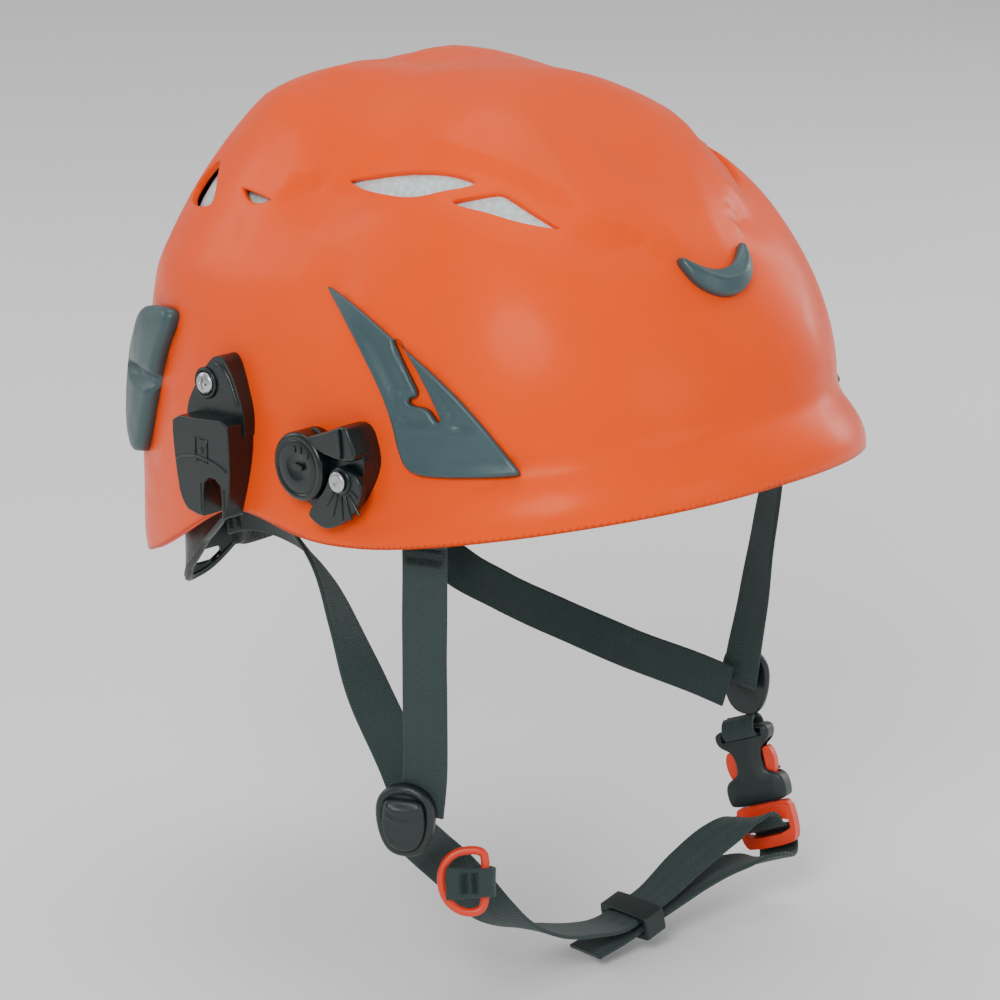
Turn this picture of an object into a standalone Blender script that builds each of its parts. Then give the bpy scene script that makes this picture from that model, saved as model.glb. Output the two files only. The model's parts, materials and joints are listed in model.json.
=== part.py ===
"""Forestry climbing helmet: shell, liner, fittings, size adjuster and chin harness.

Lengths are in millimetres and angles in degrees until a mesh is made, which is in metres.
-Y is the helmet's front, -X the wearer's right and +Z up. The origin is the centre of the
head opening. An azimuth runs from 0 at the front over 90 at the wearer's right to 180.
"""
import math

import bmesh
import bpy
import numpy as np
from mathutils import Matrix, Vector

MM = 0.001

# The dome: radii seen from a centre above the origin, at elevations above that centre
DOME_CENTRE = Vector((0, 0, 30))
ELEVATIONS = (-30, 0, 20, 40, 57, 74, 90)
FRONT_RADII = (122, 122, 121.5, 117.5, 114, 117, 121)
SIDE_RADII = (113, 101, 103.5, 108, 115, 119.5, 121)
REAR_RADII = (160, 142, 139.5, 138, 134.5, 121.5, 121)
# The plan is a superellipse that turns round between these elevations and the crown
FRONT_SQUARENESS = 2.3
REAR_SQUARENESS = 2.55
SQUARE_UP_TO = 40

# The rim: its height and its outward flare, by azimuth
RIM_AZIMUTHS = (0, 30, 60, 75, 90, 108, 122, 136, 150, 165, 180)
RIM_HEIGHTS = (27, 23, 11, 5.5, 4.5, 5, -9, -25, -34, -30, -25)
FLARE_AZIMUTHS = (0, 60, 90, 130, 180)
FLARES = (9, 8, 4, 2, 2)
FLARE_HEIGHT = 26

SHELL_THICKNESS = 3
SHELL_SIDES = 64
SHELL_LEVELS = (0, 0.035, 0.08, 0.13, 0.2, 0.28, 0.37, 0.46, 0.55, 0.64, 0.73, 0.82, 0.91)
FITTING_GAP = 0.5
LINER_DEPTH = 5.2
LINER_THICKNESS = 12
LINER_SIDES = 44
LINER_LEVELS = (0, 0.07, 0.17, 0.29, 0.42, 0.55, 0.68, 0.8, 0.91)
LINER_RIM_LIFT = 14
CROWN_PAD_DEPTH = 19.6
CROWN_PAD_THICKNESS = 5

# Vent outlines on the right of the dome: azimuth and height
VENTS = {
    "upper": ((98, 121), (89.5, 125.3), (77, 128.3), (63, 129.4), (54.5, 127.5), (55, 125.8),
              (63, 123.5), (71.5, 119.2), (81.5, 119), (92, 119.4)),
    "front": ((59.5, 121.4), (50.5, 124), (47.5, 124.7), (44, 123.2), (33, 115), (35.5, 113),
              (43, 115.6), (50, 117.9), (56.5, 118.3)),
    "side": ((127, 111.5), (117, 110.3), (119.5, 107.2), (123, 107.4)),
    "rear": ((134, 103.5), (138, 112), (142, 116), (149, 108), (150, 101), (143, 98.5)),
}
LINER_VENTS = {
    "upper": ((92, 130), (77, 135), (63, 136), (60, 132), (77, 129.5), (90, 126)),
    "rear": ((138, 112), (150, 113), (150, 104), (140, 102)),
}

# Trim pieces on the dome, as rows of azimuth and height at the two ends of each row
PANEL_ROWS = (
    (88, 88.5, 87, 88.6), (82.5, 82.4, 73, 83.5), (77, 75.7, 63.5, 77.5), (71, 65.4, 54.5, 66.5),
    (66.5, 51.5, 47.5, 51), (65, 43.8, 45, 44), (61, 33.6, 43, 38))
PANEL_SLIT = ((67.4, 76.4), (66.4, 76.6), (54.6, 49.2), (56, 48.8))
PANEL_CROSS = ((63, 59.8), (59.3, 60), (59.3, 58), (63, 57.8))
LAMP_CLIP_ROWS = (
    (9.5, 99, 9.3, 101), (7, 92.5, 7, 99), (3.5, 88.5, 3.5, 95.8), (0, 87.2, 0, 94.8),
    (-3.5, 88.5, -3.5, 95.8), (-7, 92.5, -7, 99), (-9.5, 99, -9.3, 101))
REAR_CLIP_ROWS = (
    (129.5, 65, 131, 66), (131.5, 56, 143, 60), (134, 45, 149, 48), (136.5, 30, 151, 32),
    (138.5, 17, 150, 19), (140, 8, 146, 7))
REAR_CLIP_SLIT = ((130, 38.4), (143.5, 39.6), (143.5, 37.8), (130, 36.6))
TRIM_GAP = 0.8
PANEL_THICKNESS = 2.6
LAMP_CLIP_THICKNESS = 5.5
REAR_CLIP_THICKNESS = 6.5

# Side fittings, outlined in the side plane as y and z
EARMUFF_FACE = 112
EARMUFF_TAB_FACE = 105
EARMUFF_OUTLINE = ((23, 42), (31, 58), (35, 60.5), (40, 59), (53, 38), (49.5, 11), (44.5, 3.5),
                   (27, 3.5), (22, 18))
EARMUFF_BLOCK = ((24, 41), (52.6, 38), (49.2, 11), (44.2, 3.6), (27.2, 3.6), (23, 18))
EARMUFF_SLOT = ((27.5, 2), (27.5, 15), (30, 18), (34.5, 18), (37, 15), (37, 2))
EARMUFF_SOCKET = ((29, 1), (29, 33), (46.5, 33), (46.5, 1))
EARMUFF_SOCKET_DEPTH = (104.2, 108.8)
SCREW_PLACE = (42, 49.5)
SCREW_HEAD_RADIUS = 4
VISOR_FACE = 110.8
VISOR_BASE_FACE = 106
HUB_PLACE = (-10.2, 31.2)
HUB_RADIUS = 12
PIVOT_PLACE = (-30.4, 30.3)
PIVOT_RADIUS = 2
PIVOT_HEAD_RADIUS = 3.6
VISOR_BASE = ((2, 24), (1.5, 33), (-6, 39.5), (-33, 50.6), (-38.5, 38.6), (-36, 27),
              (-34, 21), (-28, 16.5), (-22.5, 14), (-13, 16.5), (-5, 19.9))
VISOR_BLOCK = ((-12, 41.5), (-33, 50.6), (-38.5, 38.6), (-32, 36.6), (-20, 37.4))
VISOR_QUADRANT = ((-34, 34.6), (-40.2, 30.1), (-38.2, 23.2), (-28.8, 14.2), (-22.2, 11.3),
                  (-12.8, 14.9), (-17.5, 20.5), (-22.8, 26.5), (-25.5, 34.4))
RUNNING_GAP = 0.4

# The size adjuster
HEADBAND_FRONT, HEADBAND_SIDE, HEADBAND_REAR = 97, 74, 112
HEADBAND_HALF_TURN = 122
HEADBAND_HEIGHT = 22
HEADBAND_THICKNESS = 2
BROW_HALF_TURN = 64
BROW_THICKNESS = 5
PAD_GAP = 1.2
CRADLE_PIVOT = Vector((77.6, 42, 11))
CRADLE_ROWS = ((0, 112, -41, -13), (22, 112, -41, -13), (38, 111.4, -42, -15), (47, 111, -47, -22),
               (56, 110, -49.5, -24), (63, 103, -42, -24), (69, 87, -26, -18), (75, 66, -9, 2),
               (77.3, 49, 3, 16), (77.8, 36, 6, 16))
CRADLE_THICKNESS = 2.5
NAPE_PAD_ROWS = ((0, 101.5, -38, -16), (22, 101.5, -38, -16), (38, 100.5, -38, -18),
                 (46, 97, -36, -20))
NAPE_PAD_THICKNESS = 5
WHEEL_HEIGHT = -27
WHEEL_RADIUS = 13
SHAFT_RADIUS = 2.5
GEAR_MODULE = 1
PINION_TEETH = 12
RACK_TEETH = 10
RACK_DEPTH = (106, 109.2)

# Webbing
WEB_WIDTH = 16
WEB_THICKNESS = 1.6

STRAPS = {
    # name: rows of centre point and direction across the webbing
    "front_strap_right": (
        ((-89.8, -50.0, 19), (0.47, -0.88, 0)), ((-89.8, -50.0, 8), (0.47, -0.88, 0)),
        ((-88.6, -48.6, -20), (0.47, -0.88, 0)), ((-86.8, -46.6, -52), (0.47, -0.88, 0)),
        ((-85.2, -44.6, -79), (0.47, -0.88, 0)), ((-84.8, -42.6, -92), (0.47, -0.88, 0))),
    "front_strap_left": (
        ((89.8, -50.0, 19), (-0.47, -0.88, 0)), ((89.8, -50.0, 8), (-0.47, -0.88, 0)),
        ((88.2, -47.6, -20), (-0.36, -0.93, 0)), ((86.2, -43.8, -52), (-0.16, -0.98, 0)),
        ((83.9, -40.6, -79), (0.02, -1, 0)), ((83.4, -39.8, -88), (0.02, -1, 0))),
    "rear_strap_right": (
        ((-81.5, -36, -92), (0.5, -0.8, 0.2)), ((-81.5, -30, -80), (0.6, -0.7, 0.4)),
        ((-82, -14, -56), (0.9, -0.35, 0.3)), ((-80, 0, -36), (0.97, 0.1, -0.2)),
        ((-77, 16, -19), (0.8, 0.2, -0.6)), ((-74.5, 34, -9), (0.55, 0.2, -0.8)),
        ((-72, 52, -7), (0.3, 0.2, -0.95)), ((-70.2, 66, -9), (0.1, 0.2, -1)),
        ((-67.4, 76, -13), (0, 0.2, -1))),
    "rear_strap_left": (
        ((79, -38, -88.4), (0.1, 0.3, 0.95)), ((76.5, -27, -86), (0.1, 0.3, 0.95)),
        ((71.5, 6, -82), (0.1, 0.3, 0.95)), ((66, 37, -76), (0.1, 0.35, 0.93)),
        ((62, 65, -70.5), (0.15, 0.35, 0.92)), ((59.5, 88, -64), (0.4, 0.4, 0.8)),
        ((57, 96.5, -57), (0.8, 0.3, 0.5)), ((55, 99.6, -48), (0.9, -0.43, 0)),
        ((54.4, 99.6, -36), (0.9, -0.45, 0))),
}
CHIN_STRAP_TO_PLUG = (
    ((-84, -38.8, -101.5), (0.6, -0.5, 0.6)), ((-75, -38.2, -110.2), (0.64, -0.44, 0.62)),
    ((-69, -41, -117), (0.67, -0.42, 0.62)), ((-62.5, -44, -125.5), (0.65, -0.5, 0.58)),
    ((-54, -46, -135.5), (0.5, -0.75, 0.45)), ((-42, -46, -145), (0.25, -0.95, 0.2)),
    ((-26, -46, -152.6), (0, -1, 0)), ((-8, -46, -158), (0, -1, 0)),
    ((8, -46, -160.2), (0, -1, 0)), ((19, -46, -158.1), (0, -1, 0)),
    ((29, -46.8, -155.2), (0, -1, 0)), ((46, -48.5, -146.4), (0.1, -1, -0.1)),
    ((62, -50.3, -139.5), (0.2, -0.96, -0.1)), ((74, -51.8, -136.6), (0.25, -0.92, 0.2)))
PLUG_WRAP = ((29.6, -6.2), (32.2, -4.8), (35.9, 4.3), (38.5, 4.8), (42, 4.2), (45, 1.2), (45.4, -2.2),
             (44, -7))
CHIN_STRAP_BACK = (
    ((68, -53.2, -151.2), (0.1, -1, 0.1)), ((49, -50, -154), (0, -1, 0)),
    ((34, -48, -158.2), (0, -1, 0)), ((19, -46.6, -162.3), (0, -1, 0)),
    ((8, -46.3, -164.8), (0, -1, 0)), ((-6, -46, -167), (0, -1, 0)))
SOCKET_LOOP = ((-8.8, -1.8), (-7.6, -4.4), (-5, -5.9), (-3.4, -5.9), (-2.6, -5.2), (-2.6, 5.2),
               (-3.4, 5.9), (-5, 5.9), (-7.6, 4.4), (-8.8, 1.8))
ANCHOR_AZIMUTH = 60
ANCHOR_HEIGHT = 12
ANCHOR_INSET = 5.3

# Harness hardware: place, direction across and direction up
RIGHT_DIVIDER = ((-91, -40.8, -93.4), (0.468, -0.883, 0), (-0.113, 0.214, 0.970))
LEFT_DIVIDER = ((88, -39.6, -87.4), (0, -1, 0), (0, 0, 1))
DIVIDER_OUTLINE = ((-11, 3), (-9.5, 9), (-5, 12.5), (0, 13.5), (5, 12.5), (9.5, 9), (11, 3),
                   (9.5, -6), (6, -12), (-6, -12), (-9.5, -6))
FLAP_OUTLINE = ((-7.5, 6), (-6, 8.5), (6, 8.5), (7.5, 6), (8, -2), (6, -8), (2.5, -10.5),
                (-2.5, -10.5), (-6, -8), (-8, -2))
DIVIDER_THICKNESS = 3
FLAP_THICKNESS = 3.4
FLAP_HINGE = 7.6
RING_PLACE = ((-72.8, -51.7, -117.3), (0.704, -0.710, 0), (0.2076, 0.2058, 0.956))
RING_OUTLINE = ((7, 8), (7, -9), (4.5, -11.5), (-1, -11.5), (-6, -8), (-8.5, -2), (-8, 5),
                (-4, 9.5), (3, 10.3))
RING_WIRE = 1.4
RING_BAR = 7
ADJUSTER_PLACE = (19, -46.3, -160.2)
ADJUSTER_UP = (-0.23, 0, 0.97)
BUCKLE_PLACE = Vector((87, -40.7, -111.2))
BUCKLE_RUN = Vector((0, -0.363, -0.932)).normalized()
BUCKLE_ACROSS_HINT = Vector((0.35, -0.93, 0))
SOCKET_OUTLINE = ((-10.5, -5.8), (10.5, -5.8), (11, -2), (9.5, 1), (5.5, 2.5), (5.5, 12), (11, 14),
                  (12, 18), (11, 24), (-11, 24), (-12, 18), (-11, 14), (-5.5, 12), (-5.5, 2.5),
                  (-9.5, 1), (-11, -2))
SOCKET_HALF_THICKNESS = 4.5
CHANNEL_HALF_WIDTH = 10
CHANNEL_HALF_THICKNESS = 2.6
PLUG_OUTLINE = ((-3, 3.5), (3, 3.5), (3, 24.6), (11, 24.6), (11, 41), (-11, 41), (-11, 24.6),
                (-3, 24.6))
PLUG_HALF_THICKNESS = 2
PLUG_SLOT = ((-9.2, 30.6), (9.2, 30.6), (9.2, 37), (-9.2, 37))
PRONG_OUTLINE = ((5.6, 3.5), (8.4, 3), (9.6, 6), (9.6, 11), (8.4, 14.5), (8.4, 24.2),
                 (5.6, 24.2))
PRONG_HALF_THICKNESS = 2.1

COLOURS = {
    # name: colour, roughness
    "orange_shell": ((0.80, 0.13, 0.02), 0.32), "foam": ((0.46, 0.49, 0.51), 0.8),
    "slate": ((0.045, 0.09, 0.095), 0.4), "black_green": ((0.012, 0.02, 0.018), 0.35),
    "dark_plastic": ((0.02, 0.032, 0.03), 0.45), "webbing": ((0.026, 0.046, 0.044), 0.85),
    "orange_part": ((0.68, 0.085, 0.025), 0.45), "pad": ((0.03, 0.034, 0.036), 0.95),
    "steel": ((0.55, 0.56, 0.57), 0.3), "band": ((0.05, 0.06, 0.06), 0.5),
}

for old in list(bpy.data.objects):
    bpy.data.objects.remove(old, do_unlink=True)
PARTS = bpy.data.collections.new("forestry_helmet")
CUTTERS = bpy.data.collections.new("cutters")
for collection in (PARTS, CUTTERS):
    bpy.context.scene.collection.children.link(collection)


def make_material(name):
    colour, roughness = COLOURS[name]
    material = bpy.data.materials.new(name)
    material.use_nodes = True
    shader = material.node_tree.nodes["Principled BSDF"]
    shader.inputs["Base Color"].default_value = (*colour, 1)
    shader.inputs["Roughness"].default_value = roughness
    shader.inputs["Metallic"].default_value = 1 if name == "steel" else 0
    return material


MATERIALS = {name: make_material(name) for name in COLOURS}


# ---------------------------------------------------------------- the dome as a formula
def smooth_curve(knots, values, flat_start=False, flat_end=False):
    """Give a function that follows a cubic spline through the values at the knots."""
    knots, values = np.array(knots, float), np.array(values, float)
    count, step = len(knots), np.diff(knots)
    slope = np.diff(values) / step
    matrix, right = np.eye(count), np.zeros(count)
    for i in range(1, count - 1):
        matrix[i, i - 1:i + 2] = step[i - 1], 2 * (step[i - 1] + step[i]), step[i]
        right[i] = 6 * (slope[i] - slope[i - 1])
    if flat_start:
        matrix[0, :2] = 2 * step[0], step[0]
        right[0] = 6 * slope[0]
    if flat_end:
        matrix[-1, -2:] = step[-1], 2 * step[-1]
        right[-1] = -6 * slope[-1]
    bend = np.linalg.solve(matrix, right)

    def value(x):
        i = int(np.clip(np.searchsorted(knots, x) - 1, 0, count - 2))
        after, before, h = x - knots[i], knots[i + 1] - x, step[i]
        cubic = (bend[i] * before ** 3 + bend[i + 1] * after ** 3) / (6 * h)
        left = (values[i] / h - bend[i] * h / 6) * before
        return float(cubic + left + (values[i + 1] / h - bend[i + 1] * h / 6) * after)
    return value


front_radius = smooth_curve(ELEVATIONS, FRONT_RADII, flat_end=True)
side_radius = smooth_curve(ELEVATIONS, SIDE_RADII, flat_end=True)
rear_radius = smooth_curve(ELEVATIONS, REAR_RADII, flat_end=True)
rim_height = smooth_curve(RIM_AZIMUTHS, RIM_HEIGHTS, True, True)
rim_flare = smooth_curve(FLARE_AZIMUTHS, FLARES, True, True)


def plain_radius(azimuth, elevation):
    """Distance from the dome centre to the dome without its flare."""
    c, s = math.cos(math.radians(azimuth)), math.sin(math.radians(azimuth))
    length = front_radius(elevation) if c >= 0 else rear_radius(elevation)
    rear_share = 0.5 - 0.5 * c
    power = FRONT_SQUARENESS * (1 - rear_share) + REAR_SQUARENESS * rear_share
    climb = min(max((elevation - SQUARE_UP_TO) / (90 - SQUARE_UP_TO), 0), 1)
    power = 2 + (power - 2) * (1 - climb * climb * (3 - 2 * climb))
    width = side_radius(elevation)
    return ((abs(c) / length) ** power + (abs(s) / width) ** power) ** (-1 / power)


def fold(azimuth):
    """The azimuth's equal on the half from 0 to 180."""
    return abs((azimuth + 180) % 360 - 180)


def rim_elevation(azimuth, lift=0):
    height = rim_height(fold(azimuth)) + lift - DOME_CENTRE.z
    flare = rim_flare(fold(azimuth))
    elevation = 0.0
    for _ in range(5):
        across = (plain_radius(azimuth, elevation) + flare) * math.cos(math.radians(elevation))
        elevation = math.degrees(math.atan2(height, across))
    return elevation


def dome_radius(azimuth, elevation):
    radius = plain_radius(azimuth, elevation)
    rise = math.radians(elevation - rim_elevation(azimuth)) * radius
    rise = min(max(rise, 0), FLARE_HEIGHT)
    return radius + rim_flare(fold(azimuth)) * (0.5 + 0.5 * math.cos(math.pi * rise / FLARE_HEIGHT))


def dome_point(azimuth, elevation, offset=0.0):
    a, e = math.radians(azimuth), math.radians(elevation)
    ray = Vector((-math.sin(a) * math.cos(e), -math.cos(a) * math.cos(e), math.sin(e)))
    return DOME_CENTRE + ray * (dome_radius(azimuth, elevation) + offset)


def wall_point(azimuth, height, offset=0.0):
    """The dome's point at an azimuth and a height."""
    elevation = 0.0
    for _ in range(12):
        reach = (height - DOME_CENTRE.z) / dome_radius(azimuth, elevation)
        elevation = math.degrees(math.asin(min(max(reach, -0.99), 0.99)))
    return dome_point(azimuth, elevation, offset)


# ---------------------------------------------------------------- building helpers
def finish(name, bm, material, collection=PARTS, origin=(0, 0, 0)):
    """Turn a bmesh in millimetres into an object in metres with its origin where asked."""
    origin = Vector(origin)
    bmesh.ops.translate(bm, vec=-origin, verts=bm.verts)
    bmesh.ops.scale(bm, vec=(MM, MM, MM), verts=bm.verts)
    mesh = bpy.data.meshes.new(name)
    bm.to_mesh(mesh)
    bm.free()
    thing = bpy.data.objects.new(name, mesh)
    thing.location = origin * MM
    collection.objects.link(thing)
    if material:
        mesh.materials.append(MATERIALS[material])
    else:
        thing.hide_render = True
        thing.display_type = "WIRE"
    return thing


def solidify(thing, thickness, offset):
    modifier = thing.modifiers.new("thickness", "SOLIDIFY")
    modifier.thickness = thickness * MM
    modifier.offset = offset
    return thing


def thicken(thing, thickness, outward):
    """Make a surface of the dome solid, growing away from the dome's centre or towards it."""
    face = thing.data.polygons[0]
    faces_out = face.normal.dot(face.center - DOME_CENTRE * MM) > 0
    return solidify(thing, thickness, 1 if faces_out == outward else -1)


def boolean(thing, tool, operation="DIFFERENCE"):
    modifier = thing.modifiers.new(operation.lower(), "BOOLEAN")
    modifier.operation = operation
    modifier.object = tool
    modifier.solver = "EXACT"
    return thing


def grid_object(name, rows, material, origin=(0, 0, 0), top=None, closed=False):
    """An open surface through rows of points, with a closing point at the top if given."""
    bm = bmesh.new()
    made = [[bm.verts.new(p) for p in row] for row in rows]
    for low, high in zip(made, made[1:]):
        count = len(low)
        for i in range(count if closed else count - 1):
            j = (i + 1) % count
            bm.faces.new((low[i], low[j], high[j], high[i]))
    if top is not None:
        tip = bm.verts.new(top)
        for i, vert in enumerate(made[-1]):
            bm.faces.new((vert, made[-1][(i + 1) % len(made[-1])], tip))
    bmesh.ops.recalc_face_normals(bm, faces=bm.faces)
    return finish(name, bm, material, PARTS, origin)


def solid_of(rings, name, material, collection=PARTS, origin=(0, 0, 0)):
    """A closed body through rings of points, capped at both ends."""
    bm = bmesh.new()
    made = [[bm.verts.new(p) for p in ring] for ring in rings]
    for low, high in zip(made, made[1:]):
        for i in range(len(low)):
            j = (i + 1) % len(low)
            bm.faces.new((low[i], low[j], high[j], high[i]))
    bm.faces.new(made[0])
    bm.faces.new(made[-1])
    bmesh.ops.recalc_face_normals(bm, faces=bm.faces)
    return finish(name, bm, material, collection, origin)


def prism(name, outline, low, high, place, material, origin=(0, 0, 0)):
    """A plate from an outline of two coordinates, between two depths.

    place is a function from the outline's two coordinates and a depth to a point.
    """
    rings = [[place(a, b, depth) for a, b in outline] for depth in (low, high)]
    return solid_of(rings, name, material, PARTS if material else CUTTERS, origin)


def side_plane(side):
    """Outline coordinates y and z, and depth outward from the middle of the helmet."""
    return lambda y, z, depth: Vector((side * depth, y, z))


def local_frame(centre, across, up):
    centre, across = Vector(centre), Vector(across).normalized()
    normal = across.cross(Vector(up)).normalized()
    upright = normal.cross(across)
    return lambda a, b, depth: centre + across * a + upright * b + normal * depth


def circle(centre, radius, count):
    turns = [2 * math.pi * i / count for i in range(count)]
    return [(centre[0] + radius * math.cos(t), centre[1] + radius * math.sin(t)) for t in turns]


def turned(name, profile, place, material, count=24, origin=(0, 0, 0)):
    """A round solid from pairs of radius and depth along its axis."""
    rings = [[place(a, b, depth) for a, b in circle((0, 0), radius, count)]
             for radius, depth in profile]
    return solid_of(rings, name, material, PARTS if material else CUTTERS, origin)


def sides():
    return (("right", -1), ("left", 1))


# ---------------------------------------------------------------- shell and liner
def dome_rings(levels, count, offset, lift=0):
    rings = []
    for level in levels:
        ring = []
        for i in range(count):
            azimuth = 360 * i / count
            low = rim_elevation(azimuth, lift)
            ring.append(dome_point(azimuth, low + (90 - low) * level, offset))
        rings.append(ring)
    return rings


def outline_cutter(name, outline, reach, side=-1):
    """A prism through the wall, over an outline of azimuths and heights."""
    points = [wall_point(-side * azimuth, height) for azimuth, height in outline]
    middle = sum(points, Vector()) / len(points)
    normal = (points[1] - middle).cross(points[len(points) // 2] - middle)
    for i, point in enumerate(points):
        normal += (point - middle).cross(points[(i + 1) % len(points)] - middle)
    normal.normalize()
    if normal.dot(middle - DOME_CENTRE) < 0:
        normal.negate()
    inside, outside = reach
    rings = [[p + normal * depth for p in points] for depth in (inside, outside)]
    return solid_of(rings, name, None, CUTTERS)


def make_shell():
    top = dome_point(0, 90)
    rings = dome_rings(SHELL_LEVELS, SHELL_SIDES, 0)
    shell = grid_object("outer_shell", rings, "orange_shell", top=top, closed=True)
    thicken(shell, SHELL_THICKNESS, False)
    for vent, outline in VENTS.items():
        for word, side in sides():
            boolean(shell, outline_cutter(f"cut_{vent}_{word}", outline, (-12, 12), side))


def make_liner():
    top = dome_point(0, 90, -LINER_DEPTH)
    rings = dome_rings(LINER_LEVELS, LINER_SIDES, -LINER_DEPTH, LINER_RIM_LIFT)
    liner = grid_object("foam_liner", rings, "foam", top=top, closed=True)
    thicken(liner, LINER_THICKNESS, False)
    for vent, outline in LINER_VENTS.items():
        for word, side in sides():
            boolean(liner, outline_cutter(f"cut_liner_{vent}_{word}", outline, (-32, 12), side))


def make_crown_pad():
    depth = -CROWN_PAD_DEPTH
    rings = [[dome_point(15 * i, elevation, depth) for i in range(24)]
             for elevation in (64, 71, 78, 84)]
    pad = grid_object("crown_pad", rings, "pad", top=dome_point(0, 90, depth), closed=True)
    thicken(pad, CROWN_PAD_THICKNESS, False)


def envelope():
    """The dome's outside as a solid that trims the fittings to it."""
    below = [[wall_point(360 * i / SHELL_SIDES, height, FITTING_GAP)
              for i in range(SHELL_SIDES)] for height in (-60,)]
    rings = below + dome_rings(SHELL_LEVELS, SHELL_SIDES, FITTING_GAP)
    return solid_of(rings, "cut_envelope", None, CUTTERS)


# ---------------------------------------------------------------- pieces on the shell
def wall_slab(name, rows, thickness, material, columns, side=-1):
    """A slab that follows the dome, on rows that run between two azimuths and heights."""
    surface = []
    for a0, z0, a1, z1 in rows:
        steps = [i / (columns - 1) for i in range(columns)]
        surface.append([wall_point(-side * (a0 + (a1 - a0) * t), z0 + (z1 - z0) * t, TRIM_GAP)
                        for t in steps])
    return thicken(grid_object(name, surface, material), thickness, True)


def make_trim():
    wall_slab("front_lamp_clip", LAMP_CLIP_ROWS, LAMP_CLIP_THICKNESS, "slate", 3)
    for word, side in sides():
        panel = wall_slab(f"side_panel_{word}", PANEL_ROWS, PANEL_THICKNESS, "slate", 6, side)
        for label, outline in (("slit", PANEL_SLIT), ("cross", PANEL_CROSS)):
            boolean(panel, outline_cutter(f"cut_{label}_{word}", outline, (-2, 12), side))
        clip = wall_slab(f"rear_lamp_clip_{word}", REAR_CLIP_ROWS, REAR_CLIP_THICKNESS,
                         "slate", 4, side)
        boolean(clip, outline_cutter(f"cut_tongue_{word}", REAR_CLIP_SLIT, (-4, 14), side))


def make_earmuff_adapters(trim):
    for word, side in sides():
        plane = side_plane(side)
        tab = prism(f"earmuff_adapter_{word}", EARMUFF_OUTLINE, 88, EARMUFF_TAB_FACE, plane,
                    "black_green")
        block = prism(f"cut_block_{word}", EARMUFF_BLOCK, 90, EARMUFF_FACE, plane, None)
        arch = prism(f"cut_arch_{word}", EARMUFF_SLOT, 80, EARMUFF_FACE + 4, plane, None)
        socket = prism(f"cut_socket_{word}", EARMUFF_SOCKET, *EARMUFF_SOCKET_DEPTH, plane, None)
        boolean(tab, block, "UNION")
        for tool in (socket, arch, trim):
            boolean(tab, tool)
        centre = side_plane(side)(SCREW_PLACE[0], SCREW_PLACE[1], EARMUFF_TAB_FACE + 0.3)
        place = local_frame(centre, (0, -side, 0), (0, 0, 1))
        profile = ((SCREW_HEAD_RADIUS, 0), (SCREW_HEAD_RADIUS, 1), (SCREW_HEAD_RADIUS - 1, 1.8))
        flip = 1 if place(0, 0, 1).x * side > place(0, 0, 0).x * side else -1
        profile = [(r, flip * d) for r, d in profile]
        turned(f"adapter_screw_{word}", profile, place, "steel", 16)


def make_visor_adapters(trim):
    for word, side in sides():
        plane = side_plane(side)
        base = prism(f"visor_adapter_{word}", VISOR_BASE, 90, VISOR_BASE_FACE, plane,
                     "black_green")
        hub = prism(f"cut_hub_{word}", circle(HUB_PLACE, HUB_RADIUS, 20), 92, VISOR_FACE,
                    plane, None)
        block = prism(f"cut_visor_block_{word}", VISOR_BLOCK, 92, VISOR_FACE - 0.6, plane, None)
        boolean(base, hub, "UNION")
        boolean(base, block, "UNION")
        boolean(base, trim)
        origin = plane(*PIVOT_PLACE, VISOR_BASE_FACE)
        quadrant = prism(f"visor_quadrant_{word}", VISOR_QUADRANT,
                         VISOR_BASE_FACE + RUNNING_GAP, VISOR_FACE - 0.5, plane, "black_green",
                         origin)
        hole = circle(PIVOT_PLACE, PIVOT_RADIUS + RUNNING_GAP, 16)
        boolean(quadrant, prism(f"cut_pivot_{word}", hole, 100, 118, plane, None))
        place = local_frame(origin, (0, 1, 0), (0, 0, 1))
        profile = ((PIVOT_RADIUS, 0.3), (PIVOT_RADIUS, 4.7), (PIVOT_HEAD_RADIUS, 4.7),
                   (PIVOT_HEAD_RADIUS, 5.4), (PIVOT_HEAD_RADIUS - 1.2, 6.1))
        profile = [(r, side * d) for r, d in profile]
        turned(f"visor_pivot_{word}", profile, place, "steel", 16, origin)


# ---------------------------------------------------------------- size adjuster
def band_point(azimuth, height, inset=0.0):
    a = math.radians(azimuth)
    c, s = math.cos(a), math.sin(a)
    length = HEADBAND_FRONT if c >= 0 else HEADBAND_REAR
    reach = ((abs(c) / length) ** 2.2 + (abs(s) / HEADBAND_SIDE) ** 2.2) ** (-1 / 2.2) - inset
    return Vector((-s * reach, -c * reach, height))


def band_low(azimuth):
    return 4 + 18 * math.cos(math.radians(azimuth / 2)) ** 2


def strip(name, half_turn, count, inset, margin, thickness, material):
    """A strip along the headband's line, inset from it and narrower by a margin."""
    rows = []
    for i in range(count):
        azimuth = half_turn * (2 * i / (count - 1) - 1)
        low = band_low(azimuth)
        heights = (low + margin, low + HEADBAND_HEIGHT / 2, low + HEADBAND_HEIGHT - margin)
        rows.append([band_point(azimuth, z, inset) for z in heights])
    return solidify(grid_object(name, rows, material), thickness, 0)


def make_headband():
    band = strip("headband", HEADBAND_HALF_TURN, 25, 0, 0, HEADBAND_THICKNESS, "band")
    inset = (HEADBAND_THICKNESS + BROW_THICKNESS) / 2 + PAD_GAP
    strip("brow_pad", BROW_HALF_TURN, 15, inset, 1, BROW_THICKNESS, "pad")
    return band


def mirrored_rows(rows):
    """Stations from the wearer's right to the left, out of those on one half."""
    return [(-x, *rest) for x, *rest in reversed(rows[1:])] + list(rows)


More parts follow.
